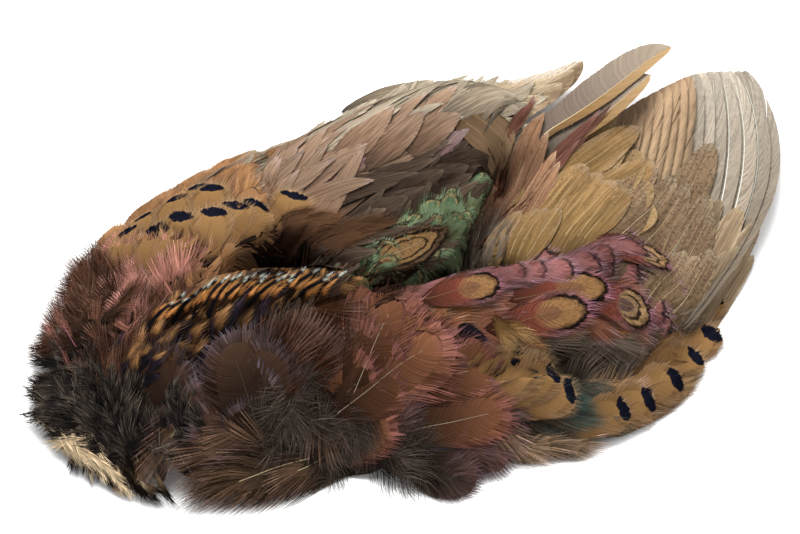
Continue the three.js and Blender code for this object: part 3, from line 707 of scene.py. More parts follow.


# Most rows start near black at the root: painted shade, where the feathers in front cover the roots
KINDS = {
    # Neck: almost black with worn pale ends, so the hackle looks dusty
    "neck": kind(hackle, 22, 3.2, (2.3, 4), "hackle_keratin",
        "0 #0b0a0a, 0.6 #1b1817, 1 #50473e", "0 #0e0d0f, 0.6 #352d2a, 1 #9f8f7a",
        streak=0.75, variety=0.6, shaft="#1b1818"),
    # Collar: cream with dark roots and tips, which reads as a broken pale band
    "ring": kind(hackle, 17, 3.4, (2.2, 4), "collar_keratin",
        "0 #292019, 0.3 #988368, 0.75 #c9b391, 0.92 #d6c2a4, 1 #392c21",
        streak=0.65, shaft="#8e7b61"),
    "ring_fringe": kind(hackle, 16, 2.8, (2.4, 4), "collar_fringe_keratin",
        "0 #6d5d45, 0.35 #3d3023, 0.5 #15100d, 1 #0c0907",
        shaft="#15100d"),
    # Far breast: dark hair-like barbs with paler, pinkish ends, a painted soft rim of light and sheen
    "dark_breast": kind(stranded, 44, 9, (5, 9), "far_breast_keratin",
        "0 #0e0d0a, 0.5 #2a1c15, 0.85 #442c21, 1 #6d5244", "0 #100d0a, 0.6 #3f2c23, 1 #7e665b",
        streak=0.75, shaft="#261c15"),
    "pink_breast": kind(hairy, 36, 9, (5, 8), "pink_breast_keratin",
        "0 #2b1e1a, 0.5 #654136, 0.85 #936457, 1 #b48278", "0 #2b1e1a, 0.6 #76524a, 1 #aa7b7f",
        streak=0.5, shaft="#7c5463"),
    # Far flank: smooth tawny vanes; the near-black kind is painted shade, where they pass under the wing
    "left_flank": kind(silky, 60, 14, (9, 18), "far_flank_keratin",
        "0 #281d18, 0.4 #61442d, 0.85 #7b593b, 1 #88694e", "0 #312526, 0.5 #674a39, 1 #8c6f5c",
        variety=0.2, shaft="#6b5548"),
    "flank_dark": kind(silky, 55, 11, (8, 16), "painted_flank_shade",
        "0 #0d0b0b, 0.5 #2c1d15, 0.85 #3e2b1d, 1 #513a2b",
        variety=0.25, shaft="#3a2b20"),
    # Mantle: black with tawny middles, and striped tips along the ridge of the shoulder
    "mantle": kind(pointed, 30, 3.8, (3.4, 7), "mantle_keratin",
        "0 #060508, 0.42 #0a0a0c, 0.58 #2c1c12, 0.7 #765433, 0.86 #846242, 0.93 #312621, 1 #53493f",
        "0 #060508, 0.7 #110d0f, 1 #4f4139",
        edge_span=(0.4, 0.8), streak=0.6, variety=0.55, shaft="#1c1715"),
    "mantle_dark": kind(pointed, 28, 3.8, (3.4, 7), "shoulder_keratin",
        "0 #0e0c10, 0.7 #1b181d, 1 #4a3b45", "0 #171316, 0.5 #46312a, 0.85 #95623c, 1 #9f8479",
        streak=0.6, variety=0.35, shaft="#231d1e"),
    "mantle_tip": kind(curled, 34, 4, (5, 8), "striped_mantle_keratin",
        "0 #050506, 0.55 #0a090b, 0.84 #131011, 0.9 #8c8d81, 1 #afb8ba",
        "0 #0a0909, 0.45 #231408, 0.55 #86572f, 0.8 #976b3d, 0.86 #291f19, 0.93 #898874, 1 #aeb6ad",
        edge_span=(0.15, 0.5), variety=0.5, streak=0.4, shaft="#0a090b"),
    # Near breast: red-brown fans with mauve edges, partly their own colour and partly painted iridescent
    # sheen; the crop is darker, with slate ends
    "breast_fan": kind(fan, 58, 17, (10, 14), "near_breast_keratin",
        "0 #100d0c, 0.45 #40291c, 0.8 #623f2c, 0.92 #714840, 1 #704b4b",
        "0 #16100d, 0.6 #54352c, 0.85 #764b48, 1 #7a5558",
        streak=0.6, variety=0.2, shaft="#a29380"),
    "breast_dark": kind(fan, 54, 16, (10, 14), "crop_keratin",
        "0 #0c0b08, 0.5 #2c1f18, 0.8 #3f2d23, 0.92 #4a3d3e, 1 #4b464c",
        "0 #0e0d0b, 0.6 #392922, 0.9 #4c4244, 1 #514d52",
        streak=0.6, variety=0.2, shaft="#44433b"),
    "breast_hair": kind(hairy, 48, 12, (6.5, 10), "hairy_breast_keratin",
        "0 #070502, 0.5 #241206, 0.8 #3b251a, 1 #6d534b", "0 #0c0703, 0.6 #362018, 1 #735d53",
        streak=0.75, shaft="#382818"),
    "breast_tip": kind(broad, 50, 14, (8, 12), "red_tipped_keratin",
        "0 #0b0b0e, 0.5 #2f241f, 0.85 #48342f, 1 #5b4449", "0 #100f0f, 0.6 #433334, 1 #64545d",
        streak=0.6, shaft="#51576a"),
    "breast_low": kind(hairy, 50, 12, (7, 11), "lower_breast_keratin",
        "0 #10110a, 0.5 #2f241b, 0.85 #4c392c, 1 #826756", "0 #13120d, 0.6 #47342e, 1 #876f70",
        streak=0.75, shaft="#a69976"),
    # Down: loose dark barbs that swallow the light
    "down": kind(loose, 32, 11, (5, 7), "grey_down",
        "0 #080806, 0.5 #1d1714, 1 #4b423a",
        streak=0.7, shaft="#322c26"),
    # Scapulars: chestnut and mauve, the mauve partly painted iridescent sheen; some have a buff oval in a
    # black line or a dark scallop
    "scapular": kind(broad, 46, 11, (8, 11), "scapular_keratin",
        "0 #14120d, 0.5 #4f3122, 0.85 #6e4738, 1 #82696b", "0 #14120d, 0.55 #5d3e36, 1 #8e7a84",
        streak=0.55, shaft="#6f644e"),
    "oval": kind(ringed, 46, 10, (8, 11), "ringed_scapular_keratin",
        "0 #140e0b, 0.5 #5a2f25, 0.85 #6b3e3c, 1 #805a6a", "0 #140e0b, 0.55 #5a3a31, 1 #846875",
        streak=0.6, variety=0.12, shaft="#6b553c", oval_fade=(-0.6, 0.35), speckle=0.3,
        speckle_colour="#3a261c",
        ovals=[(0.72, 0.2, 0.74, "#100f0d"), (0.67, 0.21, 0.6, "#725436"), (0.6, 0.12, 0.3, "#5f422e")]),
    "scrawled": kind(ringed, 46, 10, (8, 11), "scrawled_scapular_keratin",
        "0 #140d0a, 0.5 #5a2e23, 0.85 #6b424a, 1 #805866", "0 #140d0a, 0.55 #5a392f, 1 #846571",
        streak=0.5, variety=0.12, oval_fade=(-0.7, 0.1), speckle=0.45, speckle_colour="#241c15",
        shaft="#7a5e3f",
        ovals=[(0.75, 0.18, 0.84, "#100e0c"), (0.73, 0.165, 0.7, "#846849"), (0.7, 0.13, 0.52, "#241c15"),
        (0.68, 0.12, 0.42, "#765e45"), (0.64, 0.09, 0.28, "#4a3833")]),
    "copper": kind(broad, 40, 10, (7, 9), "copper_keratin",
        "0 #12110b, 0.5 #4e2d1d, 0.85 #6c462c, 1 #7e624c", "0 #12110b, 0.55 #553c2d, 1 #81726c",
        streak=0.55, shaft="#6c6248"),
    "mauve": kind(broad, 44, 10, (7, 10), "mauve_keratin",
        "0 #16140f, 0.45 #553630, 0.8 #6d494b, 1 #7b616a", "0 #16140f, 0.5 #5d4140, 1 #7d6976",
        streak=0.6, shaft="#68544d", oval_fade=(-0.4, 0.6),
        ovals=[(0.83, 0.1, 0.66, "#1f181c"), (0.775, 0.11, 0.6, "#6a4441")]),
    # Rump: dull green with small dark crescents, and one feather with a ringed eye
    "rump": kind(ringed, 34, 7, (5, 8), "green_rump_keratin",
        "0 #13120c, 0.45 #353422, 0.8 #4b5841, 1 #64755c", "0 #15140d, 0.6 #3e402c, 1 #5a6244",
        streak=0.45, shaft="#484633", variety=0.4,
        ovals=[(0.88, 0.08, 0.5, "#2c2d22"), (0.85, 0.07, 0.4, "#6a6244"), (0.83, 0.06, 0.3, "#43533c")]),
    "eyed": kind(ringed, 44, 10, (6, 10), "eyed_rump_keratin",
        "0 #100d09, 0.5 #2f251a, 0.85 #392e26, 1 #413d2f",
        streak=0.3, variety=0.1, speckle=0.4, speckle_colour="#140e09", shaft="#8e795a",
        ovals=[(0.62, 0.34, 0.92, "#0e0a08"), (0.61, 0.31, 0.8, "#483729"), (0.6, 0.28, 0.68, "#0e0a08"),
        (0.59, 0.25, 0.57, "#654d31"), (0.57, 0.2, 0.42, "#1f160d"), (0.56, 0.18, 0.35, "#624b30")]),
    # Far wing: narrow coverts from grey-brown to near black with fine lines along the shaft; the near-black
    # kind along its lower edge is partly the wing's own dark colour and partly painted shadow, where the
    # far wing overhangs the rump
    "left_covert": kind(lance, 75, 5, (3.2, 13), "far_covert_keratin",
        "0 #231c1a, 0.5 #624c3d, 0.9 #75604f, 1 #827066", "0 #28221f, 0.6 #675242, 1 #827166",
        variety=0.16, streak=0.3, combed_lines=9, shaft="#756451"),
    # Purple tinge over brown: partly painted iridescent sheen
    "left_purple": kind(lance, 72, 5, (3.2, 13), "purple_covert_keratin",
        "0 #1e1716, 0.5 #503a30, 0.85 #614d4d, 1 #71615d", "0 #1e1716, 0.6 #5a4434, 1 #746252",
        variety=0.16, streak=0.3, combed_lines=9, shaft="#776750"),
    "left_charcoal": kind(lance, 80, 5, (3.2, 13), "painted_far_wing_shade",
        "0 #080706, 0.6 #2c221b, 0.9 #3c3129, 1 #4c4136", "0 #0b0808, 0.6 #302721, 1 #4f463b",
        variety=0.2, streak=0.35, combed_lines=9, shaft="#3f362d"),
    "left_grey": kind(lance, 90, 5, (3.2, 16), "far_quill_covert_keratin",
        "0 #302c28, 0.5 #6f6353, 0.9 #837868, 1 #928978", "0 #36322c, 0.6 #746859, 1 #958e7d",
        variety=0.16, streak=0.28, combed_lines=9, shaft="#958b72"),
    "round_covert": kind(paddle, 60, 9, (6, 12), "rounded_covert_keratin",
        "0 #281e17, 0.5 #554331, 0.95 #65523e, 1 #2e2117", "0 #1f1712, 0.6 #3a2e20, 1 #241a13",
        edge_span=(0.82, 0.98), variety=0.1, streak=0.12, combed_lines=6, shaft="#887557"),
    # Near flank: tawny with blue-black spots, teal behind the breast (partly painted iridescent sheen over
    # grey-brown), pale fluff below
    "right_flank": kind(silky, 52, 11, (8, 13), "near_flank_keratin",
        "0 #191313, 0.45 #64492f, 0.85 #806444, 1 #8d765b", "0 #1e1818, 0.6 #6c553f, 1 #927d6c",
        streak=0.45, variety=0.2, shaft="#635347"),
    "spot": kind(spotted, 52, 11, (8, 13), "spotted_flank_keratin",
        "0 #281d1a, 0.4 #61472c, 0.8 #755837, 1 #856e55", "0 #2d221f, 0.5 #6b5038, 1 #8a7055",
        variety=0.12, shaft="#564739",
        ovals=[(0.865, 0.065, 0.54, "#10111a")]),
    "teal": kind(hairy, 48, 9, (6, 10), "teal_flank_keratin",
        "0 #0f0c09, 0.5 #2f2921, 0.85 #34413e, 1 #525c53", "0 #120e0a, 0.6 #42372a, 1 #6a6250",
        streak=0.55, shaft="#474246"),
    "fluff": kind(hairy, 42, 9, (5.5, 8), "flank_fluff_keratin",
        "0 #1b1a1a, 0.5 #5b4937, 0.85 #8b7159, 1 #d1aea0",
        streak=0.75, shaft="#6d5e45"),
    "tuft": kind(hairy, 20, 6, (6, 10), "buff_tuft_keratin",
        "0 #2a1c10, 0.4 #6b4e2c, 1 #a3845a",
        streak=0.5, shaft="#5a4429"),
    # Near wing: dusky below its edge, then brown and golden coverts with speckles and pale shafts
    "underwing": kind(hairy, 44, 9, (5, 9), "underwing_keratin",
        "0 #161311, 0.5 #40372f, 1 #6f6255",
        streak=0.5, shaft="#514840"),
    "inner_covert": kind(lance, 70, 5.5, (3.6, 11), "inner_covert_keratin",
        "0 #1f1713, 0.5 #563d2f, 0.9 #6f533f, 1 #886f59", "0 #261c17, 0.6 #6c533f, 1 #957d67",
        speckle=0.15, streak=0.28, combed_lines=8, shaft="#a08963"),
    "gold_covert": kind(covert, 66, 7.5, (4.6, 11), "golden_covert_keratin",
        "0 #281e17, 0.5 #665031, 0.9 #755c3d, 1 #796652", "0 #2c221b, 0.6 #6e5639, 1 #86735b",
        speckle=0.25, speckle_colour="#463729", variety=0.17, streak=0.28, combed_lines=8, shaft="#aa9875"),
    "mottled": kind(covert, 62, 7.5, (4.6, 11), "mottled_covert_keratin",
        "0 #241d18, 0.5 #5b4936, 0.9 #6b5845, 1 #796a57", "0 #29211b, 0.6 #66533e, 1 #82735c",
        speckle=0.55, speckle_colour="#372c21", variety=0.17, streak=0.28, combed_lines=8, shaft="#baa986"),
    "edge_covert": kind(long_vane, 50, 5, (6, 16), "outer_covert_keratin",
        "0 #282018, 0.5 #5b4a3a, 0.9 #6c5c49, 1 #81715a", "0 #2e241c, 0.6 #6c5c49, 1 #9c8b75",
        edge_span=(0.4, 0.9), variety=0.28, streak=0.28, combed_lines=8, shaft="#a4917b"),
    "red_inner": kind(lance, 70, 5, (6, 18), "red_brown_covert_keratin",
        "0 #150f0b, 0.5 #452a20, 0.9 #593b32, 1 #6d544c", "0 #19130f, 0.6 #4b3529, 1 #776457",
        streak=0.3, combed_lines=8, shaft="#4b3629"),
}
print("kinds of contour feathers:", len(KINDS))

# %% [markdown]
# ## Which way the feathers lie
#
# Plumage flows. Strokes drawn from root to tip, in picture pixels, say which kind of feather grows at a
# place and which way it points. A feather between two strokes takes the nearer one's kind and a blend of
# their directions, so a few strokes are enough to comb the whole skin. A second table says which kinds
# grow on which tract: strokes of any other kind still comb it, but FOREIGN puts them too far off to plant
# there.

# %% Strokes
STROKES = {
    "neck": [
        (110, 430, 85, 380), (100, 400, 88, 350), (140, 420, 130, 375), (70, 420, 38, 400),
        (60, 395, 33, 372), (75, 435, 38, 435), (75, 448, 48, 445), (60, 370, 40, 350),
        (150, 430, 170, 400), (120, 440, 100, 420),
    ],
    "ring": [(62, 446, 95, 468), (92, 464, 132, 488)],
    "ring_fringe": [(140, 465, 170, 500), (110, 478, 122, 490), (160, 480, 180, 505)],
    "dark_breast": [
        (100, 325, 82, 275), (120, 310, 108, 270), (70, 330, 50, 300), (130, 320, 165, 290),
        (90, 350, 80, 310), (160, 300, 185, 272), (75, 300, 62, 275),
    ],
    "pink_breast": [(150, 277, 143, 253), (178, 268, 171, 250), (125, 280, 119, 254)],
    "left_flank": [
        (220, 255, 225, 205), (230, 255, 280, 200), (170, 240, 190, 190), (140, 240, 155, 210),
        (210, 200, 240, 160), (270, 240, 305, 190), (190, 275, 215, 245),
    ],
    # Painted shade where the far flank passes under the wing
    "flank_dark": [(300, 255, 345, 215), (320, 260, 365, 225)],
    "mantle": [
        (140, 350, 175, 305), (165, 350, 205, 310), (190, 315, 235, 270), (230, 300, 275, 262),
        (280, 295, 325, 262), (180, 300, 200, 283),
    ],
    "mantle_dark": [
        (130, 400, 165, 365), (120, 370, 145, 335), (225, 320, 265, 285), (150, 380, 185, 345),
    ],
    "breast_dark": [
        (240, 410, 235, 340), (215, 400, 205, 345), (265, 410, 275, 350), (190, 430, 165, 395),
        (190, 440, 155, 430),
    ],
    "breast_hair": [
        (300, 330, 335, 290), (330, 320, 375, 290), (340, 295, 395, 285), (280, 350, 305, 305),
    ],
    "breast_fan": [
        (350, 400, 385, 330), (390, 420, 435, 360), (340, 440, 400, 385), (390, 350, 430, 310),
    ],
    "breast_tip": [
        (430, 430, 500, 410), (440, 400, 505, 385), (450, 360, 500, 345), (450, 450, 515, 440),
    ],
    "breast_low": [
        (290, 465, 190, 480), (280, 480, 210, 508), (250, 450, 180, 455), (320, 480, 270, 500),
    ],
    "down": [
        (300, 440, 290, 480), (322, 450, 330, 486), (400, 460, 440, 488), (370, 455, 385, 487),
        (290, 425, 340, 450), (280, 420, 260, 440),
    ],
    "scapular": [(480, 300, 560, 295), (560, 290, 640, 290), (500, 318, 565, 318), (600, 310, 645, 320)],
    "copper": [(420, 290, 480, 285), (500, 335, 560, 335), (400, 305, 450, 300), (560, 335, 630, 332)],
    "mauve": [(580, 262, 645, 252), (470, 270, 560, 258), (610, 250, 665, 250), (640, 270, 670, 300)],
    "right_flank": [
        (600, 380, 670, 360), (640, 350, 705, 320), (520, 360, 580, 385), (650, 400, 690, 385),
        (690, 340, 715, 300), (540, 385, 600, 390),
    ],
    "teal": [(530, 405, 600, 400), (530, 415, 600, 412)],
    "fluff": [(530, 430, 610, 440), (560, 440, 640, 435), (510, 440, 545, 460), (600, 430, 660, 420)],
    "underwing": [(560, 350, 630, 348), (590, 362, 650, 350)],
    "rump": [(400, 250, 440, 215), (430, 235, 470, 180), (460, 230, 485, 180), (390, 265, 430, 240)],
    "left_covert": [
        (310, 190, 360, 150), (330, 165, 395, 120), (400, 140, 460, 105), (320, 145, 380, 115),
    ],
    "left_purple": [(370, 170, 430, 130)],
    # Partly the far wing's own dark lower edge, partly painted shadow where it overhangs the rump
    "left_charcoal": [
        (300, 250, 360, 210), (330, 225, 400, 180), (380, 220, 450, 170), (420, 190, 490, 150),
        (350, 200, 420, 160),
    ],
    "left_grey": [(370, 112, 440, 88), (430, 92, 510, 72), (440, 115, 520, 85), (330, 135, 380, 108)],
    "inner_covert": [(500, 250, 540, 190), (480, 250, 520, 180)],
    "gold_covert": [(540, 245, 590, 190), (570, 240, 625, 180)],
    "mottled": [(620, 240, 665, 180), (650, 250, 690, 190)],
}
KIND_NAMES = list(STROKES)
stroke_kind = np.array([KIND_NAMES.index(k) for k in STROKES for _ in STROKES[k]])
stroke_ends = np.array([s for k in STROKES for s in STROKES[k]], float).reshape(-1, 2, 2)
stroke_plan = np.array([[under_pixel(p)[:2] for p in ends] for ends in stroke_ends])
stroke_ahead = stroke_plan[:, 1] - stroke_plan[:, 0]
stroke_ahead /= np.linalg.norm(stroke_ahead, axis=1)[:, None]
STROKE_SOFTNESS = 14
BORDER_JITTER = 7
FOREIGN = 1e4


def stroke_distances(pixels):
    """How far each pixel is from each stroke."""
    start, run = stroke_ends[:, 0], stroke_ends[:, 1] - stroke_ends[:, 0]
    away = pixels[:, None] - start
    share = np.clip((away * run).sum(-1) / (run ** 2).sum(-1), 0, 1)
    return np.linalg.norm(away - share[..., None] * run, axis=-1)


GROWS_ON = {
    "neck_hackle": ("neck", "ring_fringe"),
    "neck_ring": ("ring", "ring_fringe"),
    "left_breast_plumage": ("dark_breast", "pink_breast", "neck", "left_flank"),
    "right_breast_plumage": (
        "breast_dark", "breast_hair", "breast_fan", "breast_tip", "breast_low", "down", "neck"),
    "mantle_plumage": ("mantle", "mantle_dark", "neck", "dark_breast"),
    "left_flank_plumage": ("left_flank", "flank_dark"),
    "left_side_plumage": ("left_grey",),
    "right_flank_plumage": ("right_flank", "teal", "fluff", "underwing"),
    # The near-black kinds on the rump and lower back are painted shade under the far wing
    "rump_plumage": ("rump", "left_charcoal"),
    "lower_back_plumage": ("flank_dark", "left_charcoal"),
    "right_wing_coverts": (
        "scapular", "copper", "mauve", "underwing", "inner_covert", "gold_covert", "mottled"),
    "left_wing_coverts": ("left_covert", "left_purple", "left_charcoal", "left_grey"),
}


def combed(points, node):
    """Kind number and heading of the feathers at points on the surface of one tract."""
    distance = stroke_distances(to_picture(points))
    weight = 1 / (distance ** 2 + STROKE_SOFTNESS ** 2) ** 2
    ahead = weight @ stroke_ahead
    jitter = chance.normal(0, BORDER_JITTER, distance.shape)
    foreign = ~np.isin(stroke_kind, [KIND_NAMES.index(k) for k in GROWS_ON[node]])
    kind = stroke_kind[np.argmin(distance + jitter + FOREIGN * foreign, axis=1)]
    return kind, np.arctan2(ahead[:, 1], ahead[:, 0])


print("strokes:", len(stroke_kind))

# %% [markdown]
# ## Planting the tracts
#
# Feathers grow in staggered rows, a steady distance apart. So their tips are spread over each tract like
# seeds that keep their distance, closer where the feathers are small; an even grid would show as a
# pattern. A root lies a feather's length behind its tip. Where that is off the body, or where the shaft
# would hang over the edge, the feather is shortened, and one that still hangs over is left out.

# %% Planting
TIP_SHARE = 0.8
SHORTER = (1.0, 0.8, 0.7, 0.6)
LEAST_COVER = 2.5
ROOT_SHARE = 0.25
INSIDE_FROM = 0.5
SIZE_SPREAD, SIZE_RANGE = 0.13, (0.7, 1.35)
WIDTH_SPREAD, WIDTH_RANGE = 0.1, (0.75, 1.25)
TURN_SPREAD = 0.16
CLIMB_LIMIT = 2
LEAST_REACH = 0.1


def spread_seeds(points, headings, gaps):
    """Numbers of the points that stay, so that tips keep their gaps across and along the feathers."""
    ahead = np.column_stack([np.cos(headings), np.sin(headings)])
    kept = np.empty((0, 3))
    chosen = []
    for number in chance.permutation(len(points)):
        away = kept - points[number]
        run = away[:, :2] @ ahead[number]
        off = (away ** 2).sum(axis=1) - run ** 2
        if (off / gaps[number, 0] ** 2 + (run / gaps[number, 1]) ** 2 < 1).any():
            continue
        kept = np.vstack([kept, points[number]])
        chosen.append(number)
    return np.array(chosen)


def hangs_over(carrier, roots, headings, lengths, bends, allowed):
    """True for feathers that leave the carrier before the last allowed share of their length."""
    spots = walk_shafts(carrier, roots, headings, lengths, bends)[0]
    share = np.linspace(0, 1, WALK_STEPS + 1)
    tested = (share >= ROOT_SHARE) & (share <= 1 - allowed)
    return (carrier.sample(carrier.inside, spots[:, tested]) < INSIDE_FROM).any(1)


def plant(carrier, node, spacing):
    """Batches of feathers for one tract, one batch for each kind that grows there."""
    inside = np.argwhere(carrier.owner == carrier.names.index(node))
    xy = GRID_LOW + GRID * (inside + chance.random(inside.shape) - 0.5)
    points = np.column_stack([xy, carrier.at(xy)])
    kind, heading = combed(points, node)
    gaps = np.array([KINDS[k]["gap"] for k in KIND_NAMES])[kind] * spacing
    seeds = spread_seeds(points, heading, gaps)
    batches = []
    for number in np.unique(kind[seeds]):
        recipe = KINDS[KIND_NAMES[number]]
        mine = seeds[kind[seeds] == number]
        count = len(mine)
        size = np.clip(chance.normal(1, SIZE_SPREAD, count), *SIZE_RANGE)
        turn = heading[mine] + chance.normal(0, TURN_SPREAD, count)
        ahead = np.column_stack([np.cos(turn), np.sin(turn)])
        climb = np.clip((carrier.slope(xy[mine]) * ahead).sum(1), -CLIMB_LIMIT, CLIMB_LIMIT)
        reach = TIP_SHARE * recipe["length"] * size / np.sqrt(1 + climb ** 2)
        roots = xy[mine] - ahead * reach[:, None]
        for share in SHORTER:
            bare = carrier.sample(carrier.height, roots) < LEAST_COVER
            roots[bare] = xy[mine][bare] - (ahead * reach[:, None])[bare] * share
        run = np.linalg.norm(xy[mine] - roots, axis=1) / np.maximum(reach, LEAST_REACH)
        lengths = recipe["length"] * size * (TIP_SHARE * run + 1 - TIP_SHARE)
        broadness = np.clip(chance.normal(1, WIDTH_SPREAD, count), *WIDTH_RANGE)
        widths = recipe["width"] * size * broadness
        bends = chance.normal(0, recipe["form"]["bend"], count)
        for share in SHORTER:
            hanging = hangs_over(carrier, roots, turn, lengths, bends, recipe["form"]["overhang"])
            lengths[hanging] *= share
        stays = ~hanging
        if not stays.any():
            continue
        roots, turn, bends = roots[stays], turn[stays], bends[stays]
        lengths, widths = lengths[stays], widths[stays]
        batch = feathers(carrier, roots, turn, lengths, widths, recipe["form"], bends)
        batch["finish"] = recipe["finish"]
        batches.append(batch)
    return batches


# %% [markdown]
# ## Making a piece
#
# A tract is one patch of plumage that can't be taken apart without pulling feathers out, so its batches
# become one mesh, made straight from the arrays. Each feather also gets its own cell in a texture layout,
# so that its colours can be baked without two feathers sharing a place.

# %% Pieces
CELL_MARGIN = 0.02
triangle_count = {}


def make_piece(name, batches):
    """One mesh object from batches of feathers, riding on the body."""
    corners = np.vstack([b["corners"] for b in batches]) * MM
    starts = np.cumsum([0] + [len(b["corners"]) for b in batches[:-1]])
    quads = np.vstack([b["quads"] + start for b, start in zip(batches, starts)])
    plume = np.vstack([b["plume"] for b in batches])
    first = np.cumsum([0] + [len(b["luck"]) for b in batches[:-1]])
    owner = np.concatenate([b["owner"] + start for b, start in zip(batches, first)])
    luck = np.vstack([b["luck"] for b in batches])
    finish = np.concatenate([np.full(len(b["quads"]), i) for i, b in enumerate(batches)])

    mesh = bpy.data.meshes.new(name)
    mesh.vertices.add(len(corners))
    mesh.vertices.foreach_set("co", corners.ravel())
    mesh.loops.add(quads.size)
    mesh.loops.foreach_set("vertex_index", quads.ravel().astype(np.int32))
    mesh.polygons.add(len(quads))
    mesh.polygons.foreach_set("loop_start", np.arange(len(quads), dtype=np.int32) * 4)
    mesh.polygons.foreach_set("material_index", finish.astype(np.int32))
    mesh.polygons.foreach_set("use_smooth", np.ones(len(quads), bool))
    mesh.update(calc_edges=True)
    for batch in batches:
        mesh.materials.append(batch["finish"])
    coat = np.column_stack([luck[owner], plume[:, 3]])
    for label, values in (("plume", plume[:, :3]), ("coat", coat)):
        mesh.attributes.new(label, "FLOAT_VECTOR", "POINT").data.foreach_set("vector", values.ravel())
    columns = math.ceil(math.sqrt(len(luck)))
    cell = np.column_stack([owner % columns, owner // columns])
    inside = np.column_stack([0.5 + 0.5 * plume[:, 1], plume[:, 0]])
    layout = (cell + CELL_MARGIN + (1 - 2 * CELL_MARGIN) * inside) / columns
    mesh.uv_layers.new(name="OFBake").uv.foreach_set("vector", layout[quads.ravel()].ravel())
    piece = bpy.data.objects.new(name, mesh)
    bpy.context.collection.objects.link(piece)
    triangle_count[name] = 2 * len(quads)
    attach(piece, "root")
    return piece


def by_word(table, node):
    """The entry of the first word in a table that the node's name has."""
    return next(entry for word, entry in table.items() if word in node)


# %% [markdown]
# ## Feathers that the eye finds
#
# Some feathers stand out: the blue-black spots of the flanks, the ringed scapulars, the eye-marked rump
# feather, the big breast feathers with their shafts. A chance spread would never put them where they
# show, so they are placed one by one or in rows, from root to tip in picture pixels, on top of the tract
# that they grow from.

# %% Single feathers
FAR_SPOTS = [
    (127, 230), (142, 217), (155, 230), (179, 219), (211, 216), (175, 200), (198, 189), (212, 186),
    (236, 200), (256, 196), (295, 185),
]
NEAR_SPOTS = [
    (503, 362), (527, 372), (537, 372), (548, 380), (566, 392), (620, 410), (644, 400), (670, 381),
    (690, 360), (708, 336),
]
FAR_SPOT_ROOT, FAR_SPOT_TIP = (-14, 52), (4, -2)
NEAR_SPOT_ROOT, NEAR_SPOT_TIP = (-62, 26), (12, -6)


def spot_rows(spots, width, root, tip):
    """A feather for every blue-black spot; root and tip are measured from the spot."""
    return [("spot", width, 1, (x + root[0], y + root[1], x + tip[0], y + tip[1])) for x, y in spots]


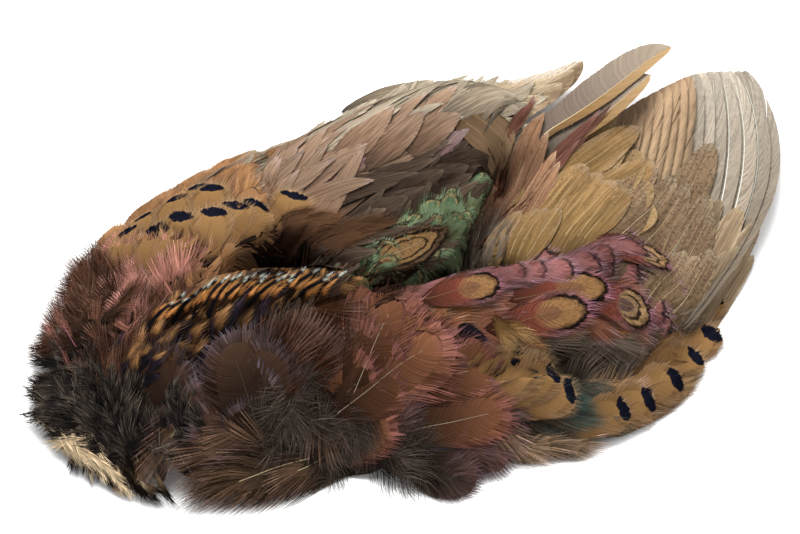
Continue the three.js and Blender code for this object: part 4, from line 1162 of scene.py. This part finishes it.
# Kind, half width in millimetres, number of feathers, then the first and the last of them from root to tip
ROWS = {
    "left_flank_plumage": [
        *spot_rows(FAR_SPOTS, 11, FAR_SPOT_ROOT, FAR_SPOT_TIP),
        # Near-black feathers: painted shade where the flank passes under the wing
        ("flank_dark", 8, 5, (232, 262, 308, 214), (280, 272, 348, 240)),
    ],
    "right_flank_plumage": [
        ("teal", 6, 6, (515, 398, 585, 394), (520, 422, 604, 416)),
        *spot_rows(NEAR_SPOTS, 10, NEAR_SPOT_ROOT, NEAR_SPOT_TIP),
        ("spot", 8, 1, (688, 324, 722, 296)),
    ],
    "left_breast_plumage": [
        ("pink_breast", 3, 2, (72, 372, 46, 318), (78, 364, 54, 314)),
        ("dark_breast", 7, 8, (85, 350, 32, 348), (105, 300, 70, 260)),
        ("dark_breast", 8, 2, (100, 324, 76, 262), (108, 318, 96, 250)),
        ("dark_breast", 7, 2, (96, 324, 142, 296), (102, 316, 152, 278)),
    ],
    "neck_hackle": [
        ("neck", 3, 12, (72, 365, 28, 368), (80, 440, 42, 440)),
    ],
    "neck_ring": [
        ("ring_fringe", 2.6, 16, (70, 450, 72, 474), (146, 484, 184, 510)),
        ("ring", 3, 12, (48, 430, 82, 456), (106, 474, 142, 494)),
    ],
    "mantle_plumage": [
        ("mantle_tip", 3.2, 9, (140, 336, 178, 299), (208, 312, 244, 277)),
        ("mantle_tip", 3.2, 12, (213, 312, 250, 275), (300, 308, 345, 284)),
        ("mantle_tip", 3, 8, (190, 320, 222, 282), (250, 312, 290, 280)),
    ],
    "right_wing_coverts": [
        ("edge_covert", 5, 5, (690, 335, 754, 216), (640, 318, 714, 202)),
        ("edge_covert", 5, 3, (652, 372, 728, 254), (668, 380, 746, 248)),
        ("mottled", 7, 4, (616, 350, 690, 250), (650, 370, 718, 254)),
        ("mottled", 8, 5, (560, 270, 655, 165), (640, 335, 716, 214)),
        ("mottled", 9, 1, (640, 262, 712, 146)),
        ("gold_covert", 8, 1, (560, 222, 652, 162)),
        ("gold_covert", 8, 1, (496, 236, 636, 128)),
        ("gold_covert", 7, 6, (560, 275, 628, 188), (498, 262, 580, 168)),
        ("inner_covert", 6, 4, (500, 262, 560, 160), (466, 256, 545, 118)),
        ("red_inner", 3, 1, (466, 250, 528, 106)),
        ("red_inner", 3, 4, (474, 250, 608, 106), (484, 250, 578, 140)),
        ("underwing", 6, 4, (448, 282, 482, 236), (474, 284, 506, 232)),
        ("mauve", 8, 6, (462, 286, 530, 268), (560, 268, 640, 252)),
        ("gold_covert", 5, 4, (476, 274, 516, 228), (510, 276, 552, 214)),
        ("scrawled", 11, 1, (565, 252, 668, 266)),
        ("scrawled", 10, 1, (560, 290, 652, 316)),
        ("oval", 10, 1, (478, 330, 592, 308)),
        ("oval", 10, 1, (500, 302, 612, 288)),
        ("oval", 8, 1, (415, 302, 504, 285)),
        ("mantle_dark", 6, 1, (455, 330, 488, 338)),
        ("tuft", 4, 3, (488, 316, 514, 354), (498, 320, 534, 346)),
    ],
    "right_breast_plumage": [
        ("breast_low", 15, 1, (325, 455, 195, 500)),
        ("breast_fan", 15, 1, (400, 440, 520, 405)),
        ("breast_fan", 15, 1, (390, 410, 500, 360)),
        ("breast_fan", 16, 1, (345, 420, 405, 300)),
        ("breast_fan", 20, 1, (320, 432, 462, 330)),
        ("breast_dark", 16, 1, (262, 430, 268, 335)),
        ("breast_dark", 18, 1, (262, 440, 222, 330)),
    ],
    "left_wing_coverts": [
        ("left_covert", 7, 3, (320, 185, 395, 108), (385, 160, 462, 116)),
        # Near-black rows along the far wing's lower edge: partly its own colour, partly painted shadow
        ("left_charcoal", 6, 9, (280, 272, 362, 254), (412, 205, 494, 166)),
        ("left_charcoal", 6, 7, (300, 250, 372, 226), (410, 190, 486, 150)),
        ("round_covert", 9, 1, (440, 108, 500, 158)),
        ("round_covert", 9, 1, (448, 100, 512, 148)),
        ("left_grey", 7, 1, (430, 132, 512, 96)),
        ("left_grey", 8, 1, (450, 100, 536, 84)),
    ],
    "rump_plumage": [
        ("eyed", 11, 1, (345, 296, 438, 232)),
    ],
}
ROW_RISE = (-4.5, 1.5)
ROW_RISE_POWER = 0.38
ROW_STEP = 0.1
ROW_JITTER = 1.3
ROW_LIFT = 0.1
COURSE_STEPS = np.linspace(0, 1, 21)[:, None]


def row_of(carrier, layer, kind_name, width, count, first, last=None):
    """A batch of feathers between two strokes, laid over all that lies below."""
    recipe = KINDS[kind_name]
    between = np.linspace(first, first if last is None else last, count)
    roots = np.array([on_carrier(carrier, stroke[:2]) for stroke in between])
    tips = np.array([on_carrier(carrier, stroke[2:]) for stroke in between])
    if count > 1:
        roots += chance.normal(0, ROW_JITTER, roots.shape)
        tips += chance.normal(0, ROW_JITTER, tips.shape)
    line = roots[:, None] + (tips - roots)[:, None] * COURSE_STEPS
    line = np.concatenate([line, carrier.at(line)[..., None]], -1)
    lengths = np.linalg.norm(np.diff(line, axis=1), axis=-1).sum(1)
    curl = recipe["form"]["curl"]
    headings = np.arctan2(*(tips - roots).T[::-1]) - curl / 2
    rise = tuple(height + layer * ROW_STEP for height in ROW_RISE)
    shape = {**recipe["form"], "rise": rise, "rise_power": ROW_RISE_POWER, "lift": ROW_LIFT}
    widths, bends = np.full(count, float(width)), np.full(count, curl)
    batch = feathers(carrier, roots, headings, lengths, widths, shape, bends)
    batch["finish"] = recipe["finish"]
    return batch


print("placed feathers and rows:", sum(len(rows) for rows in ROWS.values()))

# %% Plumage
# Hidden body feathers are planted further apart, and those at the far rim closer together
SPACING = {"lower_back_plumage": 1.1, "left_side_plumage": 0.65}
for node in tract_nodes:
    carrier = outside if "coverts" in node else body
    batches = plant(carrier, node, SPACING.get(node, 1.0))
    batches += [row_of(carrier, layer, *row) for layer, row in enumerate(ROWS.get(node, []))]
    piece = make_piece(node + "_feathers", batches)
    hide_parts(node)
print("triangles in the tracts:", sum(triangle_count.values()))

# %% [markdown]
# ## Flight feathers
#
# A flight feather is stiff and closed to its edge. It has its own solid in the frame, so its course is
# read from there: a smooth curve through the middle of the solid from above, and a smooth surface through
# its heights. The vane could be one sheet, but a dense row of strips, one for each bundle of barbs, also
# gives the few splits that a worn feather has. The shaft is a pale ridge, nearer to the outer edge except
# in tertials.

# %% Courses of the flight feathers
BASE_SINK = 5.0
BASE_SHARE, TERTIAL_BASE_SHARE = 0.25, 0.9
BOW_POWER, RISE_POWERS, TILT_POWERS = 3, 5, 3
STRIP_EDGES = np.array([-0.5, 0.5])
SHAFT_STEPS, SHAFT_SPAN = 24, (0.2, 0.95)
QUILL_TAPER = 0.8


class Course:
    """The middle line, the width and the height of a flight feather's solid."""

    def __init__(self, node, root_near, base_share):
        self.base_share = base_share
        points = node_points(node)
        flat = points[:, :2]
        self.middle = flat.mean(0)
        axes = np.linalg.eigh(np.cov((flat - self.middle).T))[1]
        self.axis = axes[:, 1]
        run = (flat - self.middle) @ self.axis
        ends = [flat[np.argmin(run)], flat[np.argmax(run)]]
        if np.linalg.norm(ends[0] - root_near) > np.linalg.norm(ends[1] - root_near):
            self.axis = -self.axis
        self.side = np.array([-self.axis[1], self.axis[0]])
        run = (flat - self.middle) @ self.axis
        self.low, self.length = run.min(), np.ptp(run)
        share = (run - self.low) / self.length
        off = (flat - self.middle) @ self.side
        self.bow = np.polyfit(share, off, BOW_POWER)
        lateral = off - np.polyval(self.bow, share)
        self.half_width = np.abs(lateral).max()
        terms = self.terms(share, lateral)
        self.rise = np.linalg.lstsq(terms, points[:, 2], rcond=None)[0]

    @staticmethod
    def terms(share, lateral):
        powers = [share ** n for n in range(RISE_POWERS)]
        return np.stack(powers + [lateral * p for p in powers[:TILT_POWERS]], -1)

    def place(self, along, across, rise):
        lateral = across * self.half_width
        off = np.polyval(self.bow, along) + lateral
        run = self.low + along * self.length
        flat = self.middle + run[..., None] * self.axis + off[..., None] * self.side
        height = self.terms(along, lateral) @ self.rise + rise
        height = height - BASE_SINK * np.clip(1 - along / self.base_share, 0, 1)
        return np.concatenate([flat, np.maximum(height, TABLE_CLEARANCE)[..., None]], -1)


def flight_feather(course, shape, shaft_place):
    """A batch of one flight feather."""
    strips, share = strip_pattern(shape)
    along, across = strips[..., 0], strips[..., 1] * SIDES[:, None, None, None]
    across = shaft_place + across * (1 - shaft_place * SIDES[:, None, None, None])
    ruffle = chance.normal(0, shape["ruffle"], along.shape[:2])[..., None, None] * BARB_STEPS[:, None]
    corners = course.place(along, across, ruffle + STRIP_EDGES * shape["twist"])
    barbs, strip = along.shape[1], len(BARB_STEPS) * 2
    quads = repeated(sheet_quads(len(BARB_STEPS), 2), 2, barbs * strip, barbs, strip)
    barb = chance.random(along.shape[:2])[..., None, None]
    parts = [part_of(corners, quads, along, across, barb, share, 0)]
    along = np.linspace(*SHAFT_SPAN, SHAFT_STEPS + 1)[:, None] * np.ones(len(RIDGE))
    thin = shape["shaft"] * (1 - QUILL_TAPER * along)
    across = shaft_place + RIDGE * thin / course.half_width
    corners = course.place(along, across, HAIR_LIFT + thin * (1 - np.abs(RIDGE)))
    quads = sheet_quads(*along.shape)
    parts.append(part_of(corners, quads, along, across, SHAFT_BARB, SHAFT_SHARE, 0))
    return joined(parts, chance.random((1, 2)))


# %% Vanes of the flight feathers
VANE_GLOSS = 0.05
OUTER_SHAFT = 0.45
# Closed vanes shine a little where contour feathers stay matt, and faint bars cross most of them
VANES = {
    "tail_covert": dict(
        name="worn_keratin", middle="0 #443220, 0.5 #735836, 1 #9c815c",
        edge="0 #3f362d, 0.5 #665a50, 1 #8d8070", edge_span=(-0.5, -0.4), signed=True, length=95,
        shaft="#af9b7b", streak=0.06, variety=0.1),
    "left": dict(
        name="far_flight_keratin", middle="0 #45372c, 0.5 #7d6750, 1 #a18a6e",
        edge="0 #514331, 0.5 #927c63, 1 #c3b195", edge_span=(0.2, 0.8), bars=0.25, bar_colour="#574737",
        bar_count=12, length=110, shaft="#b9a682", streak=0.12, variety=0.2),
    "primary": dict(
        name="primary_keratin", middle="0 #51463c, 0.4 #766a5b, 1 #9b9183",
        edge="0 #696051, 0.5 #a19689, 1 #bbb6ab", edge_span=(-0.2, 0.3), signed=True, bars=0.25,
        bar_colour="#52463c", bar_count=14, length=120, shaft="#c2c2b8", streak=0.12, variety=0.2),
    # The darker edges of the secondaries are painted shadow lines, where each lies under the next
    "secondary": dict(
        name="secondary_keratin", middle="0 #46382a, 0.4 #846e51, 1 #9e8469",
        edge="0 #3d3226, 0.5 #64523d, 1 #75614a", edge_span=(0.7, 0.98), bars=0.15, bar_colour="#594838",
        bar_count=16, length=120, shaft="#c7b395", streak=0.12, variety=0.2),
    "tertial": dict(
        name="tertial_keratin", middle="0 #291f15, 0.5 #685134, 0.9 #775f3f, 1 #7e694c",
        edge="0 #2f2319, 0.6 #6f5838, 1 #877252", edge_span=(0.2, 0.8), speckle=0.4,
        speckle_colour="#453522", length=90, shaft="#a48c62", streak=0.08, combed_lines=8, variety=0.15),
}
vane_finish = {word: feather_finish(gloss=VANE_GLOSS, **looks) for word, looks in VANES.items()}
worn_quill = {**quill, "notch": 0.03, "split": 0.02, "web": (1.15, 1.15, 1.2, 1.2), "shaft": 0.3}

FORM_OF_WORD = {"tail_covert": worn_quill, "": quill}
SHAFT_OF_WORD = {"tertial": 0.0, "left": OUTER_SHAFT, "": -OUTER_SHAFT}
BASE_OF_WORD = {"tertial": TERTIAL_BASE_SHARE, "": BASE_SHARE}
ROOT_OF_WORD = {"right": "right_wing_arm", "left": "left_wing_arm", "tail_covert": "rump_plumage"}
for node in flight_nodes:
    low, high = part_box(by_word(ROOT_OF_WORD, node))
    root_near = np.array((low + high) / 2)[:2] / MM
    course = Course(node, root_near, by_word(BASE_OF_WORD, node))
    batch = flight_feather(course, by_word(FORM_OF_WORD, node), by_word(SHAFT_OF_WORD, node))
    batch["finish"] = by_word(vane_finish, node)
    piece = make_piece(node + "_vane", [batch])
    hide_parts(node)
print("triangles with flight feathers:", sum(triangle_count.values()))

# %% [markdown]
# ## Skin, floor and light
#
# The dried hide and the wing arms lie under the plumage, so they stay as the frame has them, with a
# finish of dried skin. The floor and the light are those of a bright product picture: almost white, soft
# and from above. Large panels could stand anywhere; these stand where they leave the near side a little
# darker than the back.

# %% Dried skin
SKIN_CLOUD, SKIN_RELIEF, SKIN_ROUGHNESS = 6.0, 0.6, 0.7
# Yellow-brown and slightly wrinkled: leathery where a gap in the plumage shows it
dried_skin = bpy.data.materials.new("dried_skin")
dried_skin.use_nodes = True
skin_tree = dried_skin.node_tree
skin_spot = add_node(skin_tree, "TexCoord", out="Object")
wrinkles = {"Vector": skin_spot, "Scale": 1 / (SKIN_CLOUD * MM), "Detail": 6.0}
skin_cloud = add_node(skin_tree, "TexNoise", wrinkles)
skin_colour = add_node(skin_tree, "ValToRGB", {0: skin_cloud}, stops_of("0.3 #5d4630, 0.7 #8a6d4c"))
skin_bump = add_node(skin_tree, "Bump", {"Height": skin_cloud, "Distance": SKIN_RELIEF * MM})
skin_shader = skin_tree.nodes["Principled BSDF"].inputs
skin_tree.links.new(skin_colour, skin_shader["Base Color"])
skin_tree.links.new(skin_bump, skin_shader["Normal"])
skin_shader["Roughness"].default_value = SKIN_ROUGHNESS
for node in SKIN_NODES:
    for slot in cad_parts[node].material_slots:
        slot.material = dried_skin
print("dried skin on", len(SKIN_NODES), "pieces")

# %% Floor and light
FLOOR_HALF = 3.0
CARD_ROUGHNESS = 0.9
WORLD_STRENGTH = 0.34
FLOOR_SIGNS = ((-1, -1), (1, -1), (1, 1), (-1, 1))
floor_mesh = bpy.data.meshes.new("floor")
floor_mesh.from_pydata([(x * FLOOR_HALF, y * FLOOR_HALF, 0) for x, y in FLOOR_SIGNS], [], [(0, 1, 2, 3)])
floor = bpy.data.objects.new("floor", floor_mesh)
bpy.context.collection.objects.link(floor)
# Matt and almost white, so that the skin keeps a faint shadow and no reflection
white_card = bpy.data.materials.new("white_card")
white_card.use_nodes = True
card_shader = white_card.node_tree.nodes["Principled BSDF"].inputs
card_shader["Base Color"].default_value = linear("#fafafa")
card_shader["Roughness"].default_value = CARD_ROUGHNESS
floor_mesh.materials.append(white_card)

# Place and size in metres, power in watts
LIGHTS = {
    "overhead_panel": dict(place=(-0.2, 0.5, 1.3), size=1.0, power=41),
    "side_panel": dict(place=(1.2, 0.2, 0.9), size=0.8, power=10),
    "front_panel": dict(place=(-0.6, -1.3, 0.9), size=1.0, power=5),
}
for name, setting in LIGHTS.items():
    lamp = bpy.data.lights.new(name, "AREA")
    lamp.size = setting["size"]
    lamp.energy = setting["power"]
    panel = bpy.data.objects.new(name, lamp)
    panel.location = setting["place"]
    panel.rotation_euler = (-panel.location).to_track_quat("-Z", "Y").to_euler()
    bpy.context.collection.objects.link(panel)
world = bpy.data.worlds.new("studio")
bpy.context.scene.world = world
world.use_nodes = True
sky = world.node_tree.nodes["Background"].inputs
sky["Color"].default_value = linear("#ffffff")
sky["Strength"].default_value = WORLD_STRENGTH
bpy.context.scene.view_settings.view_transform = "Standard"
print("lights:", len(LIGHTS))

# %% [markdown]
# ## Triangles
#
# The feathers may reach a little past the solids that they cover. The largest piece and the count of all
# triangles are printed.

# %% Triangle counts
print("largest piece:", max(triangle_count.items(), key=lambda item: item[1]))
print("all triangles:", sum(triangle_count.values()))
